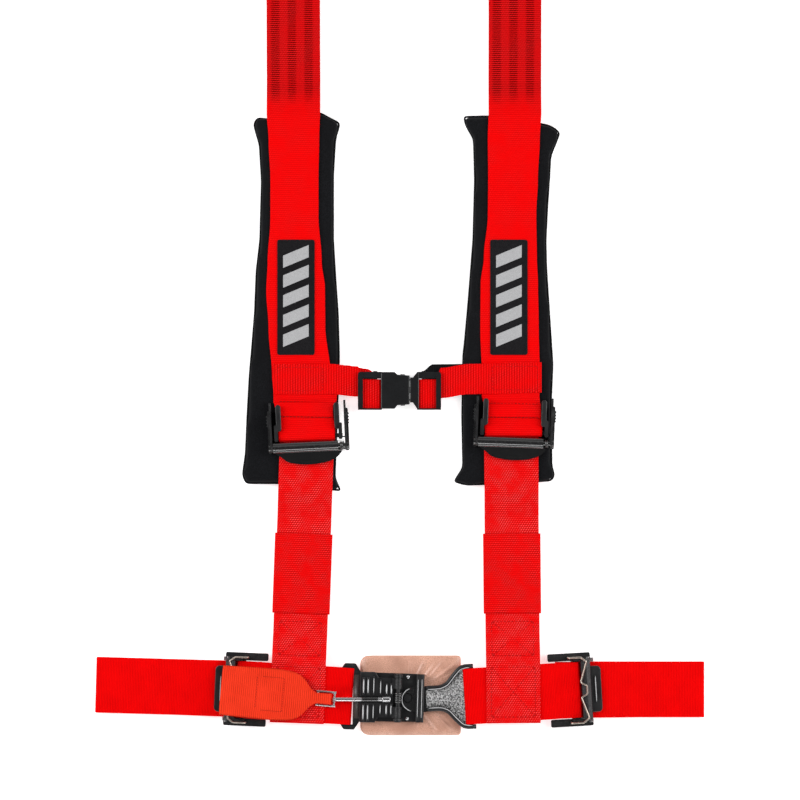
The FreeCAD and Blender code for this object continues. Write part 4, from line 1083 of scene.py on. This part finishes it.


# Thin light tube of painted highlight along a crown
def paint_highlight(name, points, across, up, sides=8, body="root", slot="black_steel"):
    finish_piece(tube(name, points, across, up, "polished", sides), slot, body=body)


def link_rims():
    """Raised black rims along both edges of the link with painted highlight lines on their crowns, and the
    hammered field between them.
    """
    field = []
    for way, tag in ((1, "upper"), (-1, "lower")):
        plan = resampled([(x, way * y) for x, y in RIM_PATH], 1.0, 5, False)
        points = [turned(LINK_FRAME, p.x, p.y, LINK_TOP - 0.1) for p in plan]
        finish_piece(tube("link_rim_" + tag, points, 2.2, 1.7, "satin", 16), "link_steel")
        # A light tube along each rim's crown is painted highlight
        crown = [turned(LINK_FRAME, p.x, p.y, LINK_TOP + 1.25) for p in shifted(plan, way * 1.05)[2:-3]]
        paint_highlight("link_rim_highlight_" + tag, crown, 0.42, 0.3, slot="link_steel")
        edge = [p for p in shifted(plan, way * 1.7) if p.x < -5.2]
        field += edge if way > 0 else edge[::-1]
    panel = plate_piece("link_field", LINK_FRAME, field, LINK_TOP - 0.3, LINK_TOP + 0.25, "hammered")
    finish_piece(panel, "link_steel")


# (x, far end above the rod, far end below it, half width of the painted highlight line) of the lever's ridges
LEVER_RIDGES = ((-22.9, 18.4, 22.2, 0.62), (-18.7, 18.4, 22.2, 0.62), (-13.4, 19.6, 20.8, 0.4),
                (-7, 16.8, 16, 0.4), (-1.3, 13.6, 16.6, 0.62), (3.2, 13.6, 16.6, 0.62))
RIDGE_TOP = 16.7
BRIDGE_TOP = 15.5
BRIDGE_HIGHLIGHTS = ((27.9, 20.4), (31.6, 21.0))
NOSE_X = -53.0
NOSE_RADIUS = 10.9
END_PLATE = ((-32.5, -20.5), (-25.2, -20.5), (-25.2, 20.5), (-32.5, 20.5))


def cross_line(spot, x, low, high, z, pieces):
    """Straight row of points across a unit, from y = low to y = high."""
    return [turned(spot, x, low + (high - low) * i / pieces, z) for i in range(pieces + 1)]


def painted_highlight_lines():
    """Painted highlights: light lines along the crowns of the lever's ridges, the bridge, the lap ribs and
    the link's nose; and the latch's end plate.
    """
    for index, (x, above, below, half) in enumerate(LEVER_RIDGES):
        for low, high, part in ((3.6, above - 1.0, "a"), (1.0 - below, -7.0, "b")):
            line = cross_line(LATCH_FRAME, x - 0.1, low, high, RIDGE_TOP - 0.1, 8)
            paint_highlight("ridge_polish_%d_%s" % (index, part), line, half, 0.24, body="lever")
    for x, reach in BRIDGE_HIGHLIGHTS:
        line = cross_line(LATCH_FRAME, x, -reach, reach, BRIDGE_TOP - 0.16, 16)
        paint_highlight("bridge_polish_%d" % round(x), line, 0.4, 0.24, 6)
    nose = [turned(LINK_FRAME, NOSE_X + NOSE_RADIUS * cos(a), NOSE_RADIUS * sin(a), LINK_TOP)
            for a in [radians(105 + 10 * i) for i in range(16)]]
    paint_highlight("link_nose_highlight", nose, 0.45, 0.25, 6, slot="link_steel")
    # End plate in brown-grey: painted reflection of the tan leather on the black latch base
    end = plate_piece("latch_end_plate", LATCH_FRAME, END_PLATE, LATCH_PLATE_TOP - 0.3,
                      LATCH_PLATE_TOP + 0.12, "leather_reflection_paint")
    finish_piece(end, "black_steel")
    for side, tag in SIDES:
        rib = cross_line(LAP_ADJUSTER[side], 21.2, 12, -12, LAP_FRAME_Z + HUB_Z + 0.1, 12)
        paint_highlight("lap_rib_highlight_" + tag, rib, 0.35, 0.22, body="lap_cam_" + tag)


def rod_sheath():
    """Black sheath on the rod where it lies in the lever's channel."""
    places = [rod_point(-27.5 + 1.65 * i) for i in range(14)]
    points = [turned(LATCH_FRAME, place.x, place.y, ROD_Z) for place in places]
    radius = ROD_RADIUS + 0.25
    finish_piece(tube("rod_sheath", points, radius, radius, "black", 16), "black_steel", body="lever")


# ---- sewn seams ----


BAND_Y = ((260.5, 274.5), (260.0, 273.0))
BAND_THICK = 0.9


def webbing_seams(side, tag):
    """Box and cross seams on the harness webbing of one side, the band on the shoulder strap, and dark
    stitches along the band's edges as painted shadow lines.
    """
    spot = lower_spot(side)
    surface = profile_height(spot, ((-40, 15.0), (34, 15.0), (57, LOWER_Z), (168, LOWER_Z)), WEB_THICK / 2)
    lines = box_lines(spot, 37.0, 68.5, -19.5, 19.5) + box_lines(spot, -20.5, 26.5, -20.5, 20.5)
    sew("seam_lower_" + tag, lines, surface, "thread", "webbing_red")

    spot = strap_spot(side)
    loop_y = strap_loop_y(side)
    high = SHOULDER_FRAME_Z + BAR_HIGH
    legs = ((loop_y + 6, high), (loop_y + 17, high - 2.4), (loop_y + 25, high - 2.4), (loop_y + 37, OVER_PAD),
            (PAD_TOP_Y + 4, OVER_PAD))
    surface = profile_height(spot, legs, WEB_THICK / 2)
    band_low, band_high = BAND_Y[side]
    half = BAND_THICK / 2
    bend_y = max(band_low + 2, loop_y + 25)
    band_route = [(band_low, surface(0, band_low) + half, 0), (bend_y, high - 1.25, 4),
                  (band_high, surface(0, band_high) + half, 0)]
    middle = between(STRAP_SHAPE[side], band_low, 1)
    band = ribbon("webbing_band_" + tag, band_route, (middle, 0.0, 90.0), "webbing_shoulder",
                  thickness=BAND_THICK, widen=lambda run: between(STRAP_SHAPE[side], run, 2) + 0.015,
                  lateral=lambda run: middle - between(STRAP_SHAPE[side], run, 1))
    finish_piece(band, "webbing_red")
    # Dark stitches along both edges of the band paint the shadow lines at its steps
    lines = [((middle - 24.5, y + 0.4), (middle + 24.5, y - 0.4)) for y in (band_low, band_high)]

    def over_band(x, y):
        return surface(x, y) + (BAND_THICK if y < band_high else 0.0)

    sew("band_shadow_stitch_" + tag, lines, over_band, "thread_dark", "webbing_red", 3.0, 0.3, 0.4)

    spot, sewn_end = chest_spot(side)
    rise = (-10.2, 11.2)[side]
    lines = box_lines(spot, sewn_end - 46, sewn_end - 4, rise - 11, rise + 11, False)
    surface = flat(SEWN_CHEST_Z + CHEST_THICK / 2)
    sew("seam_chest_" + tag, lines, surface, "thread", "webbing_red", 2.4, 0.9, 0.32)


for side, tag in SIDES:
    shoulder_strap(side, tag)
    lower_strap(side, tag)
    strap_sleeve(side, tag)
    lap_belt(side, tag)
    lap_junction(side, tag)
    chest_strap(side, tag)
    shoulder_pad(side, tag)
    label(side, tag)
    webbing_seams(side, tag)
leather_pad()
pull_tab()
link_rims()
rod_sheath()
painted_highlight_lines()


# ---- finish of the CAD metal and plastic parts ----

NODE_FINISH = {
    "zinc": ("shoulder_anchor", "strap_slide", "lap_anchor"),
    "satin": ("shoulder_frame", "lap_frame", "lap_lever", "latch_lever", "latch_pin", "latch_base"),
    "black": ("shoulder_lever", "shoulder_pin", "lap_pin", "shoulder_spring", "latch_spring", "link"),
    "bronze": ("lap_spring",),
    "bright": ("latch_rivets", "pull_rod", "tab_clasp"),
    "plastic": ("buckle_female", "buckle_male", "buckle_prong"),
}


def finish_nodes():
    """Each metal or plastic CAD node gets its finish, both sides of a pair alike."""
    for finish, kinds in NODE_FINISH.items():
        for kind in kinds:
            for name in (kind, kind + "_l", kind + "_r"):
                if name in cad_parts:
                    coat_node(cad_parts[name], materials[finish])


def coat_node(node, material):
    if not node.material_slots:
        node.data.materials.append(None)
    for holder in node.material_slots:
        holder.link = "OBJECT"
        holder.material = material


# ---- stage, lights and camera ----


FLOOR_GLOW = 0.55
# (name, place off the middle in metres, width and length, watts)
SOFT_BOXES = (
    ("side_left", (-1.55, 0.4, 1.25), (0.8, 1.9), 28.5),
    ("side_right", (1.55, 0.2, 1.25), (0.8, 1.9), 26.0),
    ("front", (0.0, -1.8, 1.2), (1.8, 0.4), 10.0),
)
# Height of the sky where it starts and ends fading, and its strength at both
SKY_FADE = (0.5, 0.97, 0.56, 0.08)
CAMERA_HEIGHT = 4.0
VIEW_WIDTH = 0.752
SENSOR = 36.0


def floor():
    bpy.ops.mesh.primitive_plane_add(size=40.0, location=at(0, 300, 0) - Vector((0, 0, 0.0004)))
    plane = bpy.context.active_object
    plane.name = "floor"
    nodes = Nodes("floor_white", (0.95, 0.95, 0.95), 0.95, specular=0.0)
    nodes.set("Emission Color", (1.0, 1.0, 1.0, 1.0))
    nodes.set("Emission Strength", FLOOR_GLOW)
    plane.data.materials.append(nodes.material)


def area_light(name, place, target, size, power):
    data = bpy.data.lights.new(name, "AREA")
    data.shape = "RECTANGLE"
    data.size, data.size_y = size
    data.energy = power
    lamp = bpy.data.objects.new(name, data)
    scene.collection.objects.link(lamp)
    lamp.location = place
    lamp.rotation_euler = (target - place).to_track_quat("-Z", "Y").to_euler()


def lights():
    """Wide soft boxes on both sides light the webbing evenly; the sky darkens straight above."""
    centre = at(0, 276, 0)
    for name, offset, size, power in SOFT_BOXES:
        area_light(name, centre + Vector(offset), centre, size, power)
    world = bpy.data.worlds.new("studio")
    world.use_nodes = True
    tree = world.node_tree
    background = tree.nodes["Background"]
    parts = tree.nodes.new("ShaderNodeSeparateXYZ")
    tree.links.new(tree.nodes.new("ShaderNodeTexCoord").outputs["Generated"], parts.inputs[0])
    fade = tree.nodes.new("ShaderNodeMapRange")
    for index, number in enumerate(SKY_FADE, 1):
        fade.inputs[index].default_value = number
    tree.links.new(parts.outputs[2], fade.inputs[0])
    tree.links.new(fade.outputs[0], background.inputs["Strength"])
    background.inputs["Color"].default_value = (1.0, 1.0, 1.0, 1.0)
    scene.world = world


def camera():
    data = bpy.data.cameras.new("camera")
    data.sensor_width = SENSOR
    data.lens = SENSOR * CAMERA_HEIGHT / VIEW_WIDTH
    data.clip_end = 50.0
    view = bpy.data.objects.new("camera", data)
    view.location = at(0, 276.4, 0) + Vector((0, 0, CAMERA_HEIGHT))
    scene.view_settings.view_transform = "Standard"
    scene.collection.objects.link(view)
    scene.camera = view


finish_nodes()
floor()
lights()
camera()
